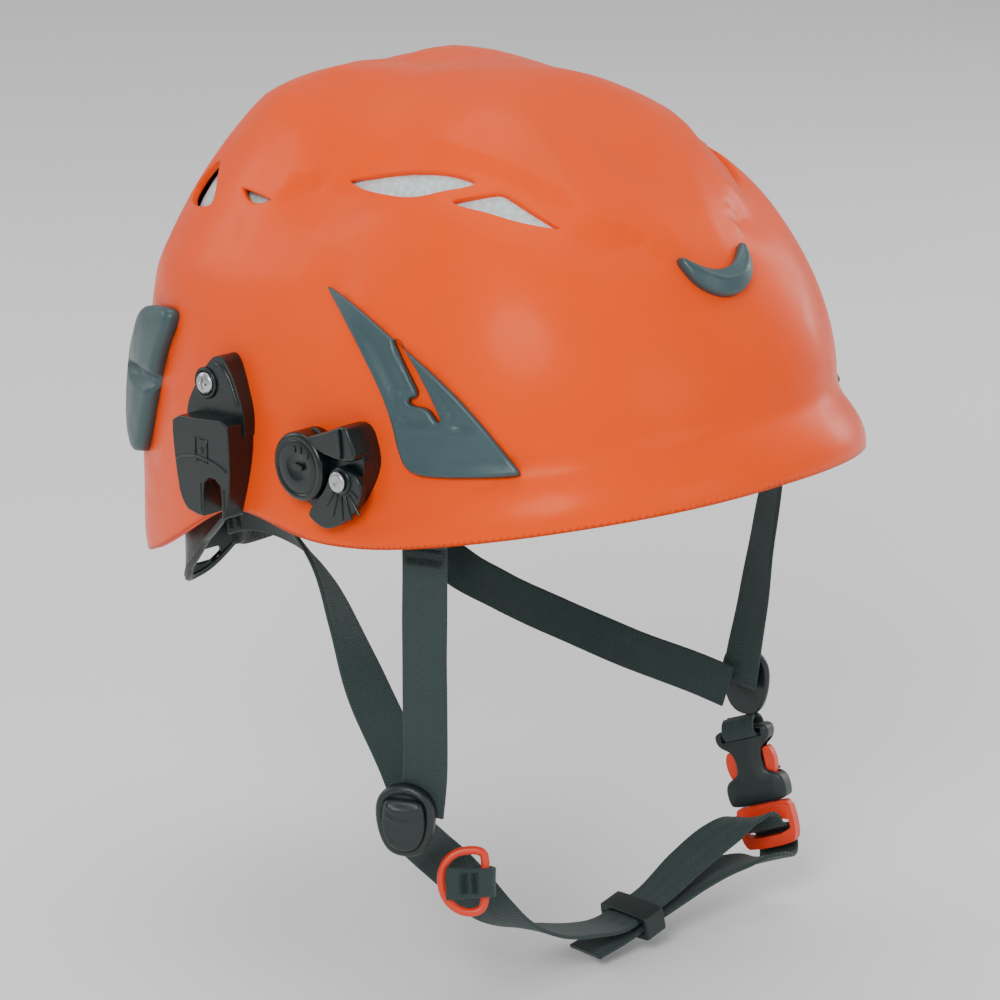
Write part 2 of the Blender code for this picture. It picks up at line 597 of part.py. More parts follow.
def nape_strip(name, rows, thickness, material, origin=(0, 0, 0)):
    stations = [[Vector((x, y, low + (high - low) * t)) for t in (0, 0.5, 1)]
                for x, y, low, high in mirrored_rows(rows)]
    return solidify(grid_object(name, stations, material, origin), thickness, 0)


def make_cradle(band):
    axis = (0, CRADLE_PIVOT.y, CRADLE_PIVOT.z)
    cradle = nape_strip("nape_cradle", CRADLE_ROWS, CRADLE_THICKNESS, "dark_plastic", axis)
    nape_strip("nape_pad", NAPE_PAD_ROWS, NAPE_PAD_THICKNESS, "pad", axis)
    for word, side in sides():
        plane = side_plane(side)
        spot = (CRADLE_PIVOT.y, CRADLE_PIVOT.z)
        hole = prism(f"cut_arm_{word}", circle(spot, 2 + RUNNING_GAP, 12), 66, 92, plane, None)
        boolean(cradle, hole)
        boolean(band, hole)
        place = local_frame(plane(*spot, 0), (0, 1, 0), (0, 0, 1))
        head = CRADLE_PIVOT.x + CRADLE_THICKNESS / 2 + 0.9
        profile = ((2, 73.5), (2, head), (3.6, head), (3.6, head + 1.4))
        profile = [(r, side * d) for r, d in profile]
        turned(f"cradle_pivot_{word}", profile, place, "dark_plastic", 12)
    return cradle


def knob_profile(face):
    """Grip with a shallow rim and a hub face, and the shaft behind it."""
    return ((SHAFT_RADIUS, face - 3.8), (SHAFT_RADIUS, face), (WHEEL_RADIUS - 1, face),
            (WHEEL_RADIUS, face + 1), (WHEEL_RADIUS, face + 6), (WHEEL_RADIUS - 1, face + 7),
            (WHEEL_RADIUS - 4, face + 7), (WHEEL_RADIUS - 5, face + 5.4))


def gear_outline(count, module):
    """Straight-flanked teeth, slim enough to run with play."""
    pitch = count * module / 2
    turn = 2 * math.pi / count
    outline = []
    for i in range(count):
        for share, reach in ((-0.26, -1.15), (-0.12, 0.75), (0.12, 0.75), (0.26, -1.15)):
            angle = turn * (i + share)
            radius = pitch + reach * module
            outline.append((radius * math.sin(angle), radius * math.cos(angle)))
    return outline


def rack_outline(direction):
    """A bar that lies across the pinion's top, with teeth that point down at it."""
    pitch = math.pi * GEAR_MODULE
    radius = PINION_TEETH * GEAR_MODULE / 2
    edge, tip, back = radius + 1.15, radius - 0.75, radius + 4.2
    outline = []
    for i in range(RACK_TEETH):
        middle = (i - (RACK_TEETH - 1) / 2) * pitch
        for share, z in ((-0.26, edge), (-0.1, tip), (0.1, tip), (0.26, edge)):
            outline.append((middle + share * pitch, z))
    outline += [(34, edge), (34, back), (-15.5, back), (-15.5, edge)]
    return [(direction * x, direction * z) for x, z in outline]


def make_size_drive(cradle):
    face = CRADLE_ROWS[0][1] + CRADLE_THICKNESS / 2 + RUNNING_GAP
    centre = Vector((0, 0, WHEEL_HEIGHT))
    place = local_frame(centre, (-1, 0, 0), (0, 0, 1))
    wheel = turned("size_wheel", knob_profile(face), place, "dark_plastic", 24, centre)
    bore = SHAFT_RADIUS + RUNNING_GAP
    hole = turned("cut_shaft", ((bore, 100), (bore, 120)), place, None, 16)
    boolean(cradle, hole)

    def upright(x, z, depth):
        return Vector((x, depth, WHEEL_HEIGHT + z))

    low, high = RACK_DEPTH
    prism("size_pinion", gear_outline(PINION_TEETH, GEAR_MODULE), low, high, upright,
          "dark_plastic", centre)
    prism("size_rack_left", rack_outline(1), low, high, upright, "band", centre)
    prism("size_rack_right", rack_outline(-1), low, high, upright, "band", centre)
    return wheel


# ---------------------------------------------------------------- webbing
def webbing(name, rows, width=WEB_WIDTH, origin=(0, 0, 0)):
    """A flat strap: a strip through centre points, as wide as the webbing, made solid."""
    centres = [Vector(point) for point, _ in rows]
    stations = []
    for i, (_, across) in enumerate(rows):
        run = centres[min(i + 1, len(rows) - 1)] - centres[max(i - 1, 0)]
        run.normalize()
        across = Vector(across)
        across = (across - run * across.dot(run)).normalized()
        stations.append([centres[i] + across * width * t for t in (-0.5, 0, 0.5)])
    return solidify(grid_object(name, stations, "webbing", origin), WEB_THICKNESS, 0)


def make_anchors():
    """Clips inside the shell's rim that hold the front straps."""
    for word, side in sides():
        inner = wall_point(-side * ANCHOR_AZIMUTH, ANCHOR_HEIGHT, -SHELL_THICKNESS)
        turn = math.radians(ANCHOR_AZIMUTH)
        outward = Vector((side * math.sin(turn), -math.cos(turn), 0))
        centre = inner - outward * ANCHOR_INSET
        place = local_frame(centre, outward.cross(Vector((0, 0, 1))), (0, 0, 1))
        outline = ((-7.5, -3.6), (7.5, -3.6), (7.5, 3.6), (-7.5, 3.6))
        prism(f"front_anchor_{word}", outline, -1, 1, place, "dark_plastic")


def make_dividers():
    for word, spot in (("right", RIGHT_DIVIDER), ("left", LEFT_DIVIDER)):
        centre, across, up = spot
        place = local_frame(centre, across, up)
        outward = 1 if (place(0, 0, 1).x > place(0, 0, 0).x) == (centre[0] > 0) else -1
        prism(f"divider_{word}", DIVIDER_OUTLINE, -2 * outward,
              (DIVIDER_THICKNESS - 2) * outward, place, "dark_plastic")
        low = DIVIDER_THICKNESS - 2 + RUNNING_GAP
        hinge = place(0, FLAP_HINGE, outward * (low + FLAP_THICKNESS / 2))
        dome = [(a * 0.72, b * 0.76) for a, b in FLAP_OUTLINE]
        layers = ((FLAP_OUTLINE, 0), (FLAP_OUTLINE, 0.55), (dome, 1))
        rings = [[place(a, b, outward * (low + FLAP_THICKNESS * share)) for a, b in outline]
                 for outline, share in layers]
        solid_of(rings, f"divider_flap_{word}", "dark_plastic", PARTS, hinge)


def make_ring():
    place = local_frame(*RING_PLACE)
    curve = bpy.data.curves.new("d_ring", "CURVE")
    curve.dimensions = "3D"
    curve.bevel_depth = RING_WIRE * MM
    curve.bevel_resolution = 1
    spline = curve.splines.new("POLY")
    spline.points.add(len(RING_OUTLINE) - 1)
    spline.use_cyclic_u = True
    bar = place(RING_BAR, 0, 0)
    for point, (a, b) in zip(spline.points, RING_OUTLINE):
        point.co = (*((place(a, b, 0) - bar) * MM), 1)
    ring = bpy.data.objects.new("d_ring", curve)
    ring.location = bar * MM
    curve.materials.append(MATERIALS["orange_part"])
    PARTS.objects.link(ring)
    toward = (place(0, 0, 1) - place(0, 0, 0))
    sign = -1 if toward.y > 0 else 1
    loop = ((-4.6, -2.6), (-3.4, -0.6), (-2.2, 1.6), (0, 2.9), (2.2, 1.6), (3.4, -0.6), (4.6, -2.6))
    up = place(0, 1, 0) - place(0, 0, 0)
    rows = [(place(RING_BAR + a, -1, sign * d), up) for a, d in loop]
    webbing("ring_loop", rows, 9)


def make_adjuster():
    place = local_frame(ADJUSTER_PLACE, (0, -1, 0), ADJUSTER_UP)
    outline = ((-11.5, -5.2), (11.5, -5.2), (11.5, 5), (-11.5, 5))
    body = prism("strap_adjuster", outline, -5, 5, place, "dark_plastic")
    slot = prism("cut_adjuster", ((-9.4, -3.7), (9.4, -3.7), (9.4, 3.6), (-9.4, 3.6)), -9, 9,
                 place, None)
    boolean(body, slot)


# ---------------------------------------------------------------- buckle
def buckle_frame():
    across = BUCKLE_ACROSS_HINT - BUCKLE_RUN * BUCKLE_ACROSS_HINT.dot(BUCKLE_RUN)
    across.normalize()
    normal = across.cross(BUCKLE_RUN)
    return lambda w, u, depth: BUCKLE_PLACE + across * w + BUCKLE_RUN * u + normal * depth


def make_buckle():
    place = buckle_frame()
    half = SOCKET_HALF_THICKNESS
    socket = prism("buckle_socket", SOCKET_OUTLINE, -half, half, place, "dark_plastic")
    wide, thin = CHANNEL_HALF_WIDTH, CHANNEL_HALF_THICKNESS
    channel = ((-wide, 0.5), (wide, 0.5), (wide, 30), (-wide, 30))
    boolean(socket, prism("cut_channel", channel, -thin, thin, place, None))
    bar_slot = ((-8, -3.9), (8, -3.9), (8, -1.3), (-8, -1.3))
    boolean(socket, prism("cut_socket_bar", bar_slot, -9, 9, place, None))
    tongue = PLUG_HALF_THICKNESS
    plug = prism("buckle_plug", PLUG_OUTLINE, -tongue, tongue, place, "orange_part",
                 place(0, 24.6, 0))
    boolean(plug, prism("cut_plug_slot", PLUG_SLOT, -9, 9, place, None))
    thick = PRONG_HALF_THICKNESS
    for word, sign in (("front", 1), ("rear", -1)):
        outline = [(sign * w, u) for w, u in PRONG_OUTLINE]
        prism(f"buckle_prong_{word}", outline, -thick, thick, place, "orange_part",
              place(sign * 7, 24.2, 0))
    across = place(1, 0, 0) - place(0, 0, 0)
    webbing("socket_loop", [(place(0, u, depth), across) for u, depth in SOCKET_LOOP], 12)
    wrap = [(place(0, u, depth), across) for u, depth in PLUG_WRAP]
    webbing("chin_strap", CHIN_STRAP_TO_PLUG + tuple(wrap) + CHIN_STRAP_BACK)


def main():
    make_shell()
    make_liner()
    make_crown_pad()
    trim = envelope()
    make_trim()
    make_earmuff_adapters(trim)
    make_visor_adapters(trim)
    band = make_headband()
    cradle = make_cradle(band)
    make_size_drive(cradle)
    make_anchors()
    for name, rows in STRAPS.items():
        webbing(name, rows)
    make_dividers()
    make_ring()
    make_adjuster()
    make_buckle()


main()
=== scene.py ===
"""The looks of the forestry helmet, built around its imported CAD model.

Shapes on the dome are worked out in millimetres and degrees, as in the CAD source: the dome is
a formula, an azimuth runs from 0 at the front over 90 at the wearer's right to 180 at the rear,
and a mesh is in metres.
"""

import json
import math

import bmesh
import bpy
import numpy as np
from mathutils import Matrix, Vector
from mathutils.geometry import delaunay_2d_cdt


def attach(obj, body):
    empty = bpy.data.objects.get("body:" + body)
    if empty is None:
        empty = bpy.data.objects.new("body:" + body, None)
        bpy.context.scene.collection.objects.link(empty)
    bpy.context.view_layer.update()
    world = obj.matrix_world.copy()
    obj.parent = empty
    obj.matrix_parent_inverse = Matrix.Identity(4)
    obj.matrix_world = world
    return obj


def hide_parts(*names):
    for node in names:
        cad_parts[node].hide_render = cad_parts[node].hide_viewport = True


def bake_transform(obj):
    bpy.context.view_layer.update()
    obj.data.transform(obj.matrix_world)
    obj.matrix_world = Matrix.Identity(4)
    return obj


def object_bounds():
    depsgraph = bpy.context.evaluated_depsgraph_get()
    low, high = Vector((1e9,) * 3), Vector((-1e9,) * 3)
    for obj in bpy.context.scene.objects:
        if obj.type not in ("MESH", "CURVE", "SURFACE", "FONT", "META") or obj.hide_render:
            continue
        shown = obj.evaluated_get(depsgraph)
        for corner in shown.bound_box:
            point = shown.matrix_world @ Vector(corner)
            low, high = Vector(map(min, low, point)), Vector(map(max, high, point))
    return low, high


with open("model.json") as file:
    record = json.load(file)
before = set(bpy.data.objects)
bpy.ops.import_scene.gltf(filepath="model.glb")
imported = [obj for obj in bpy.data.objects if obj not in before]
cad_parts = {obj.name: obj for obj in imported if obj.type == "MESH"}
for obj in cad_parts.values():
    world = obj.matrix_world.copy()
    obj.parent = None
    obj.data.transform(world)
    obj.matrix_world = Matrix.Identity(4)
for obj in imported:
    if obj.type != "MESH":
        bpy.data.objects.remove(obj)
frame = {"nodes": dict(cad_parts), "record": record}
CAD_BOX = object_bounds()
MM = 0.001

# ---------------------------------------------------------------- the dome, as in the CAD source
DOME_CENTRE = np.array((0.0, 0.0, 30.0))
ELEVATIONS = (-30, 0, 20, 40, 57, 74, 90)
FRONT_RADII = (122, 122, 121.5, 117.5, 114, 117, 121)
SIDE_RADII = (113, 101, 103.5, 108, 115, 119.5, 121)
REAR_RADII = (160, 142, 139.5, 138, 134.5, 121.5, 121)
FRONT_SQUARENESS = 2.3
REAR_SQUARENESS = 2.55
SQUARE_UP_TO = 40
RIM_AZIMUTHS = (0, 30, 60, 75, 90, 108, 122, 136, 150, 165, 180)
RIM_HEIGHTS = (27, 23, 11, 5.5, 4.5, 5, -9, -25, -34, -30, -25)
FLARE_AZIMUTHS = (0, 60, 90, 130, 180)
FLARES = (9, 8, 4, 2, 2)
FLARE_HEIGHT = 26
SHELL_THICKNESS = 3


def spline(knots, values, flat_start=False, flat_end=False):
    """Give a function that follows a cubic spline, for arrays as well as numbers."""
    knots, values = np.array(knots, float), np.array(values, float)
    count, step = len(knots), np.diff(knots)
    slope = np.diff(values) / step
    matrix, right = np.eye(count), np.zeros(count)
    for i in range(1, count - 1):
        matrix[i, i - 1:i + 2] = step[i - 1], 2 * (step[i - 1] + step[i]), step[i]
        right[i] = 6 * (slope[i] - slope[i - 1])
    if flat_start:
        matrix[0, :2] = 2 * step[0], step[0]
        right[0] = 6 * slope[0]
    if flat_end:
        matrix[-1, -2:] = step[-1], 2 * step[-1]
        right[-1] = -6 * slope[-1]
    bend = np.linalg.solve(matrix, right)

    def value(x):
        x = np.asarray(x, float)
        i = np.clip(np.searchsorted(knots, x) - 1, 0, count - 2)
        after, before, h = x - knots[i], knots[i + 1] - x, step[i]
        cubic = (bend[i] * before ** 3 + bend[i + 1] * after ** 3) / (6 * h)
        left = (values[i] / h - bend[i] * h / 6) * before
        return cubic + left + (values[i + 1] / h - bend[i + 1] * h / 6) * after
    return value


def smoothstep(low, high, x):
    t = np.clip((x - low) / (high - low), 0, 1)
    return t * t * (3 - 2 * t)


front_radius = spline(ELEVATIONS, FRONT_RADII, flat_end=True)
side_radius = spline(ELEVATIONS, SIDE_RADII, flat_end=True)
rear_radius = spline(ELEVATIONS, REAR_RADII, flat_end=True)
rim_height = spline(RIM_AZIMUTHS, RIM_HEIGHTS, True, True)
rim_flare = spline(FLARE_AZIMUTHS, FLARES, True, True)


def fold(azimuth):
    """The azimuth's equal on the half from 0 to 180."""
    return np.abs((np.asarray(azimuth, float) + 180) % 360 - 180)


def plain_radius(azimuth, elevation):
    azimuth, elevation = np.asarray(azimuth, float), np.asarray(elevation, float)
    c, s = np.cos(np.radians(azimuth)), np.sin(np.radians(azimuth))
    length = np.where(c >= 0, front_radius(elevation), rear_radius(elevation))
    rear_share = 0.5 - 0.5 * c
    power = FRONT_SQUARENESS * (1 - rear_share) + REAR_SQUARENESS * rear_share
    power = 2 + (power - 2) * (1 - smoothstep(SQUARE_UP_TO, 90, elevation))
    width = side_radius(elevation)
    return ((np.abs(c) / length) ** power + (np.abs(s) / width) ** power) ** (-1 / power)


def rim_elevation(azimuth):
    height = rim_height(fold(azimuth)) - DOME_CENTRE[2]
    elevation = np.zeros_like(height)
    for _ in range(6):
        reach = plain_radius(azimuth, elevation) + rim_flare(fold(azimuth))
        elevation = np.degrees(np.arctan2(height, reach * np.cos(np.radians(elevation))))
    return elevation


def dome_radius(azimuth, elevation):
    radius = plain_radius(azimuth, elevation)
    rise = np.radians(elevation - rim_elevation(azimuth)) * radius
    rise = np.clip(rise, 0, FLARE_HEIGHT)
    flare = rim_flare(fold(azimuth))
    return radius + flare * (0.5 + 0.5 * np.cos(np.pi * rise / FLARE_HEIGHT))


def ray(azimuth, elevation):
    a, e = np.radians(azimuth), np.radians(elevation)
    return np.stack((-np.sin(a) * np.cos(e), -np.cos(a) * np.cos(e), np.sin(e)), axis=-1)


def elevation_at(azimuth, height):
    """The elevation at which the dome has this height."""
    azimuth, height = np.broadcast_arrays(np.asarray(azimuth, float), np.asarray(height, float))
    elevation = np.zeros(azimuth.shape)
    for _ in range(14):
        reach = (height - DOME_CENTRE[2]) / dome_radius(azimuth, elevation)
        elevation = np.degrees(np.arcsin(np.clip(reach, -0.99, 0.999)))
    return elevation


def dome_surface(azimuth, elevation):
    """Points of the plain dome."""
    return DOME_CENTRE + ray(azimuth, elevation) * dome_radius(azimuth, elevation)[..., None]


def normals_of(surface, azimuth, elevation):
    """Outward unit normals of a surface that is a function of azimuth and elevation."""
    step = 0.05
    across = surface(azimuth + step, elevation) - surface(azimuth - step, elevation)
    upward = surface(azimuth, elevation + step) - surface(azimuth, elevation - step)
    normal = np.cross(upward, across)
    normal /= np.linalg.norm(normal, axis=-1, keepdims=True)
    flip = np.sum(normal * ray(azimuth, elevation), axis=-1) < 0
    normal[flip] *= -1
    return normal


# ---------------------------------------------------------------- outlines
def rectangle(left, low, right, high):
    """A rectangle's corners in order, from two opposite ones."""
    return (left, low), (right, low), (right, high), (left, high)


VENTS = {
    # Azimuth and height on the wearer's right
    "upper": ((98.5, 120.8), (97, 122.2), (89.5, 125.6), (77, 128.5), (64, 129.6), (55, 128.2),
              (53.6, 126.6), (55.5, 125.3), (63, 123.2), (71.5, 119.3), (81.5, 118.7), (92, 119.2),
              (97, 120)),
    "front": ((60, 121.6), (56, 123), (50.5, 124.4), (46.5, 124.9), (43, 122.9), (32, 114.4), (33, 113.2),
              (43, 115.4), (50, 117.7), (58.5, 119), (60.5, 120.2)),
    "side": ((128.5, 112), (122, 111.6), (116, 110.6), (116.5, 109.6), (119.5, 107), (123.5, 107.2),
             (127, 109.6)),
    "rear": ((133.5, 103), (136, 108.5), (142, 116), (145, 115.5), (149, 108), (150.5, 101.5), (148, 99.4),
             (142, 98.2), (136, 100.4)),
}
LEDGE = ((103.5, 125.5), (97.5, 130.3), (84, 134), (67, 135.3), (47.5, 132.4), (31.5, 124), (23, 116.3))
PANEL = ((88.3, 89), (82, 86.6), (74.5, 82.6), (64.5, 74.5), (56, 65.2), (49.5, 53.8), (45.5, 44),
         (42.8, 38.3), (44.2, 37.2), (52, 35.3), (60, 33.6), (63.3, 35.2), (65, 41.5), (66.3, 50.5),
         (69.6, 61.5), (75.5, 73), (81.8, 81.8), (86.8, 87.2))
REAR_CLIP = ((129.5, 65), (131, 66.6), (136.5, 65), (143.5, 60.5), (148.5, 50), (151, 36),
             (150.6, 21), (146.5, 9), (143, 7), (140, 8.4), (137.6, 18), (135, 34), (132.5, 50),
             (130, 60))
FRONT_CLIP = ((9.6, 98.6), (9.4, 101.2), (7.2, 98.9), (3.7, 95.9), (0, 94.9), (-3.7, 95.9), (-7.2, 98.9),
              (-9.4, 101.2), (-9.6, 98.6), (-7.6, 92.3), (-3.9, 88.4), (0, 87.1), (3.9, 88.4), (7.6, 92.3))
CROWN_BAND = ((-112, 8), (-98, 10), (-60, 27), (-20, 35), (40, 36), (62, 33))


def rounded(outline, times=3, closed=True):
    """Cut the corners of an outline, so that a doubled point stays sharper."""
    points = np.array(outline, float)
    for _ in range(times):
        after = np.roll(points, -1, axis=0) if closed else points[1:]
        before = points if closed else points[:-1]
        cut = np.stack((0.75 * before + 0.25 * after, 0.25 * before + 0.75 * after), axis=1)
        cut = cut.reshape(-1, 2)
        points = cut if closed else np.concatenate((points[:1], cut, points[-1:]))
    return points


def resampled(points, spacing, closed=True):
    """Points at equal spacing along a line of points."""
    line = np.concatenate((points, points[:1])) if closed else points
    lengths = np.concatenate(((0,), np.cumsum(np.linalg.norm(np.diff(line, axis=0), axis=1))))
    count = max(int(round(lengths[-1] / spacing)), 6)
    stops = np.linspace(0, lengths[-1], count + 1)
    columns = [np.interp(stops, lengths, line[:, k]) for k in range(line.shape[1])]
    return np.stack(columns, axis=1)[:-1] if closed else np.stack(columns, axis=1)


def inside(points, outline):
    """Which points lie in a closed outline, in two dimensions."""
    within = np.zeros(len(points), bool)
    x, y = points[:, 0], points[:, 1]
    for (x0, y0), (x1, y1) in zip(outline, np.roll(outline, -1, axis=0)):
        if y0 == y1:
            continue
        crosses = (y0 > y) != (y1 > y)
        within ^= crosses & (x < (x1 - x0) * (y - y0) / (y1 - y0) + x0)
    return within


def nearest_on(points, line, closed=True):
    """Distance to a line of points, and the place and the direction of the line there."""
    ends = np.roll(line, -1, axis=0) if closed else line[1:]
    starts = line if closed else line[:-1]
    best = np.full(len(points), np.inf)
    place, direction = np.zeros_like(points), np.zeros_like(points)
    for start, end in zip(starts, ends):
        run = end - start
        share = np.clip((points - start) @ run / max(run @ run, 1e-12), 0, 1)
        foot = start + share[:, None] * run
        distance = np.linalg.norm(points - foot, axis=1)
        better = distance < best
        best[better] = distance[better]
        place[better] = foot[better]
        direction[better] = run / max(np.linalg.norm(run), 1e-12)
    return best, place, direction


def on_dome(outline):
    """An outline of azimuths and heights as points of the plain dome."""
    azimuth, height = outline[:, 0], outline[:, 1]
    return dome_surface(azimuth, elevation_at(azimuth, height))


def mirrored(outline):
    return outline * (-1, 1)


# ---------------------------------------------------------------- relief of the outer shell
# Millimetres per degree of azimuth and per millimetre of height, in the flat chart of the side
CHART = np.array((1.85, 1.15))
LEDGE_DROP = 2.6
CROWN_RISE = 1.5
CROWN_STEP_Y = 58
POCKET_DEPTH, POCKET_REACH = 1.1, 60
REAR_CREASE = ((152, 71), (143, 77), (131, 82), (115, 85.5), (96, 87.5), (84, 91))
BRIM_CREASE = ((0, 47.5), (14, 46.2), (23.5, 43.5), (46.5, 36.1), (60, 22.5), (74, 10.5), (92, 9))
BRIM_CREASE_DEPTH = 1.5
BRIM_CREASE_WIDTHS = (9.0, 5.0)
CREASE_RISE, CREASE_WIDTH = 1.5, 13
SHOULDER_RISE, SHOULDER_WIDTH = 1.3, 11
SHOULDER = ((158, 134), (149, 137), (141, 138), (131, 135.5), (120, 131), (108, 127))

ledge_line = on_dome(resampled(rounded(LEDGE, 3, False), 3, False))
crease_line = on_dome(resampled(rounded(REAR_CREASE, 2, False), 3, False))
shoulder_line = on_dome(resampled(rounded(SHOULDER, 2, False), 3, False))
pocket_lines = [rounded(outline, 2) for outline in (PANEL, REAR_CLIP)]
crown_half_width = spline(*zip(*CROWN_BAND))


def side_of(points, place, direction):
    """Positive below a line that runs along the dome's right from the rear to the front."""
    return np.sign(np.sum(np.cross(direction, points - DOME_CENTRE) * (points - place), axis=1))


def relief(points, azimuth, height):
    """How far the moulded shell stands out from the plain dome, in millimetres."""
    right = points * (-1, 1, 1)
    right = np.where(points[:, :1] > 0, right, points)
    x, y, z = np.abs(points[:, 0]), points[:, 1], points[:, 2]
    raised = np.zeros(len(points))

    half = crown_half_width(np.clip(y, CROWN_BAND[0][0], CROWN_BAND[-1][0]))
    band = smoothstep(-2.5, 2.5, half - x) * smoothstep(-1.5, 1.5, CROWN_STEP_Y - y)
    strength = 0.12 + 0.88 * smoothstep(0, CROWN_STEP_Y, y) + 0.3 * smoothstep(-55, -90, y)
    raised += CROWN_RISE * band * strength * smoothstep(90, 104, z)

    distance, place, direction = nearest_on(right, ledge_line, False)
    below = distance * side_of(right, place, direction)
    ends = smoothstep(0, 16, np.linalg.norm(right - ledge_line[0], axis=1))
    ends *= smoothstep(0, 16, np.linalg.norm(right - ledge_line[-1], axis=1))
    drop = smoothstep(-1, 6.5, below) * (1 - smoothstep(9, 34, below))
    raised -= LEDGE_DROP * drop * ends * (z > 80)

    for line, rise, width in ((crease_line, CREASE_RISE, CREASE_WIDTH),
                              (shoulder_line, SHOULDER_RISE, SHOULDER_WIDTH)):
        distance, place, direction = nearest_on(right, line, False)
        ends = smoothstep(0, 20, np.linalg.norm(right - line[-1], axis=1))
        raised += rise * ends * np.exp(-(distance / width) ** 1.5)

    turn = fold(azimuth)
    brim = np.interp(turn, *zip(*BRIM_CREASE))
    share = (height - brim) / np.where(height > brim, *BRIM_CREASE_WIDTHS)
    raised -= BRIM_CREASE_DEPTH * np.exp(-np.abs(share) ** 1.3) * (1 - smoothstep(76, 92, turn))

    chart = np.stack((turn, height), axis=1) * CHART
    for outline in pocket_lines:
        edge = outline * CHART
        near = (np.abs(chart - edge.mean(0)) < POCKET_REACH).all(axis=1)
        depth = np.zeros(len(points))
        depth[near] = nearest_on(chart[near], edge)[0] * inside(chart[near], edge)
        raised -= POCKET_DEPTH * smoothstep(0, 1.3, depth)
    return raised


def shell_surface(azimuth, elevation):
    """Points of the moulded shell's outside."""
    azimuth, elevation = np.broadcast_arrays(azimuth, elevation)
    flat, level = azimuth.reshape(-1).astype(float), elevation.reshape(-1).astype(float)
    points = dome_surface(flat, level)
    points += ray(flat, level) * relief(points, flat, points[:, 2])[:, None]
    return points.reshape(azimuth.shape + (3,))


# ---------------------------------------------------------------- mesh helpers
def placed(name, mesh):
    """A smooth-shaded object of the scene from a mesh."""
    mesh.polygons.foreach_set("use_smooth", [True] * len(mesh.polygons))
    thing = bpy.data.objects.new(name, mesh)
    bpy.context.scene.collection.objects.link(thing)
    return thing


def mesh_object(name, points, faces):
    """A mesh object in metres from points in millimetres."""
    mesh = bpy.data.meshes.new(name)
    mesh.from_pydata([tuple(p) for p in np.asarray(points) * MM], [], faces)
    mesh.validate()
    return placed(name, mesh)


def outward(thing):
    """Merge points that coincide and turn every face outward."""
    bm = bmesh.new()
    bm.from_mesh(thing.data)
    bmesh.ops.remove_doubles(bm, verts=bm.verts, dist=1e-6)
    bmesh.ops.recalc_face_normals(bm, faces=bm.faces)
    bm.to_mesh(thing.data)
    bm.free()
    return thing


def triangles_through(points, loops):
    """Triangulate points of a plane so that the loops are edges.

    Gives the points, the triangles and each loop as indices into the points.
    """
    given, edges, starts = [Vector(p) for p in points], [], []
    for loop in loops:
        first = len(given)
        starts.append((first, len(loop)))
        given += [Vector(p) for p in loop]
        edges += [(first + i, first + (i + 1) % len(loop)) for i in range(len(loop))]
    verts, _, faces, sources, _, _ = delaunay_2d_cdt(given, edges, [], 0, 1e-7)
    place = {source: i for i, group in enumerate(sources) for source in group}
    rings = [[place[first + i] for i in range(count)] for first, count in starts]
    return np.array([tuple(v) for v in verts]), [tuple(f) for f in faces], rings


def pruned(points, faces):
    """The points and faces without the points that no face uses."""
    used = sorted({i for face in faces for i in face})
    renumber = {old: new for new, old in enumerate(used)}
    return [points[i] for i in used], [tuple(renumber[i] for i in face) for face in faces]


def lip(points, faces, outer, inner, normals, radius, towards, steps=4):
    """Join an outer and an inner ring by a wall with rounded edges.

    towards says for each ring point which way the wall is moved from the ring.
    """
    top, bottom = np.array([points[i] for i in outer]), np.array([points[i] for i in inner])
    rows = [list(outer)]

    def add(row):
        first = len(points)
        points.extend(row)
        rows.append(list(range(first, first + len(row))))

    for k in range(1, steps + 1):
        turn = math.pi / 2 * k / steps
        add(top + towards * radius * math.sin(turn) - normals * radius * (1 - math.cos(turn)))
    for k in range(steps):
        turn = math.pi / 2 * k / steps
        add(bottom + towards * radius * math.cos(turn) + normals * radius * (1 - math.sin(turn)))
    rows.append(list(inner))
    for low, high in zip(rows, rows[1:]):
        for i in range(len(low)):
            j = (i + 1) % len(low)
            faces.append((low[i], low[j], high[j], high[i]))


def smooth_ring(vectors):
    """Unit vectors round a ring, each averaged with its neighbours."""
    total = sum(np.roll(vectors, step, axis=0) for step in range(-3, 4))
    return total / np.linalg.norm(total, axis=1, keepdims=True)


def ring_sides(ring, normals):
    """For each point of a ring, the direction in the surface that leads away from the ring's middle."""
    tangent = np.roll(ring, -1, axis=0) - np.roll(ring, 1, axis=0)
    side = np.cross(tangent, normals)
    side /= np.maximum(np.linalg.norm(side, axis=1, keepdims=True), 1e-9)
    if np.sum(side * (ring - ring.mean(0))) < 0:
        side = -side
    return side


# ---------------------------------------------------------------- the outer shell
RIM_COUNT = 320
RIM_ROUNDING, VENT_ROUNDING = 1.45, 0.9


def to_disc(azimuth, elevation):
    """The dome laid flat: the crown is the middle and the rim the unit circle."""
    share = (90 - elevation) / (90 - rim_elevation(azimuth))
    turn = np.radians(azimuth)
    return np.stack((share * np.sin(turn), share * np.cos(turn)), axis=1)


def from_disc(flat):
    azimuth = np.degrees(np.arctan2(flat[:, 0], flat[:, 1]))
    share = np.hypot(flat[:, 0], flat[:, 1])
    return azimuth, 90 - share * (90 - rim_elevation(azimuth))


def disc_of(outline):
    return to_disc(outline[:, 0], elevation_at(outline[:, 0], outline[:, 1]))


def dense_outline(outline, spacing=1.3):
    """An outline's azimuths and heights at equal spacing on the dome."""
    scale = np.array((1.8, 1.3))
    return resampled(outline * scale, spacing) / scale


def clear_of(points, blocked, distance):
    """Which points are further than a distance from all blocked points."""
    free = np.ones(len(points), bool)
    for start in range(0, len(points), 2000):
        part = points[start:start + 2000]
        gap = np.linalg.norm(part[:, None] - blocked[None], axis=2).min(axis=1)
        free[start:start + 2000] = gap > distance
    return free


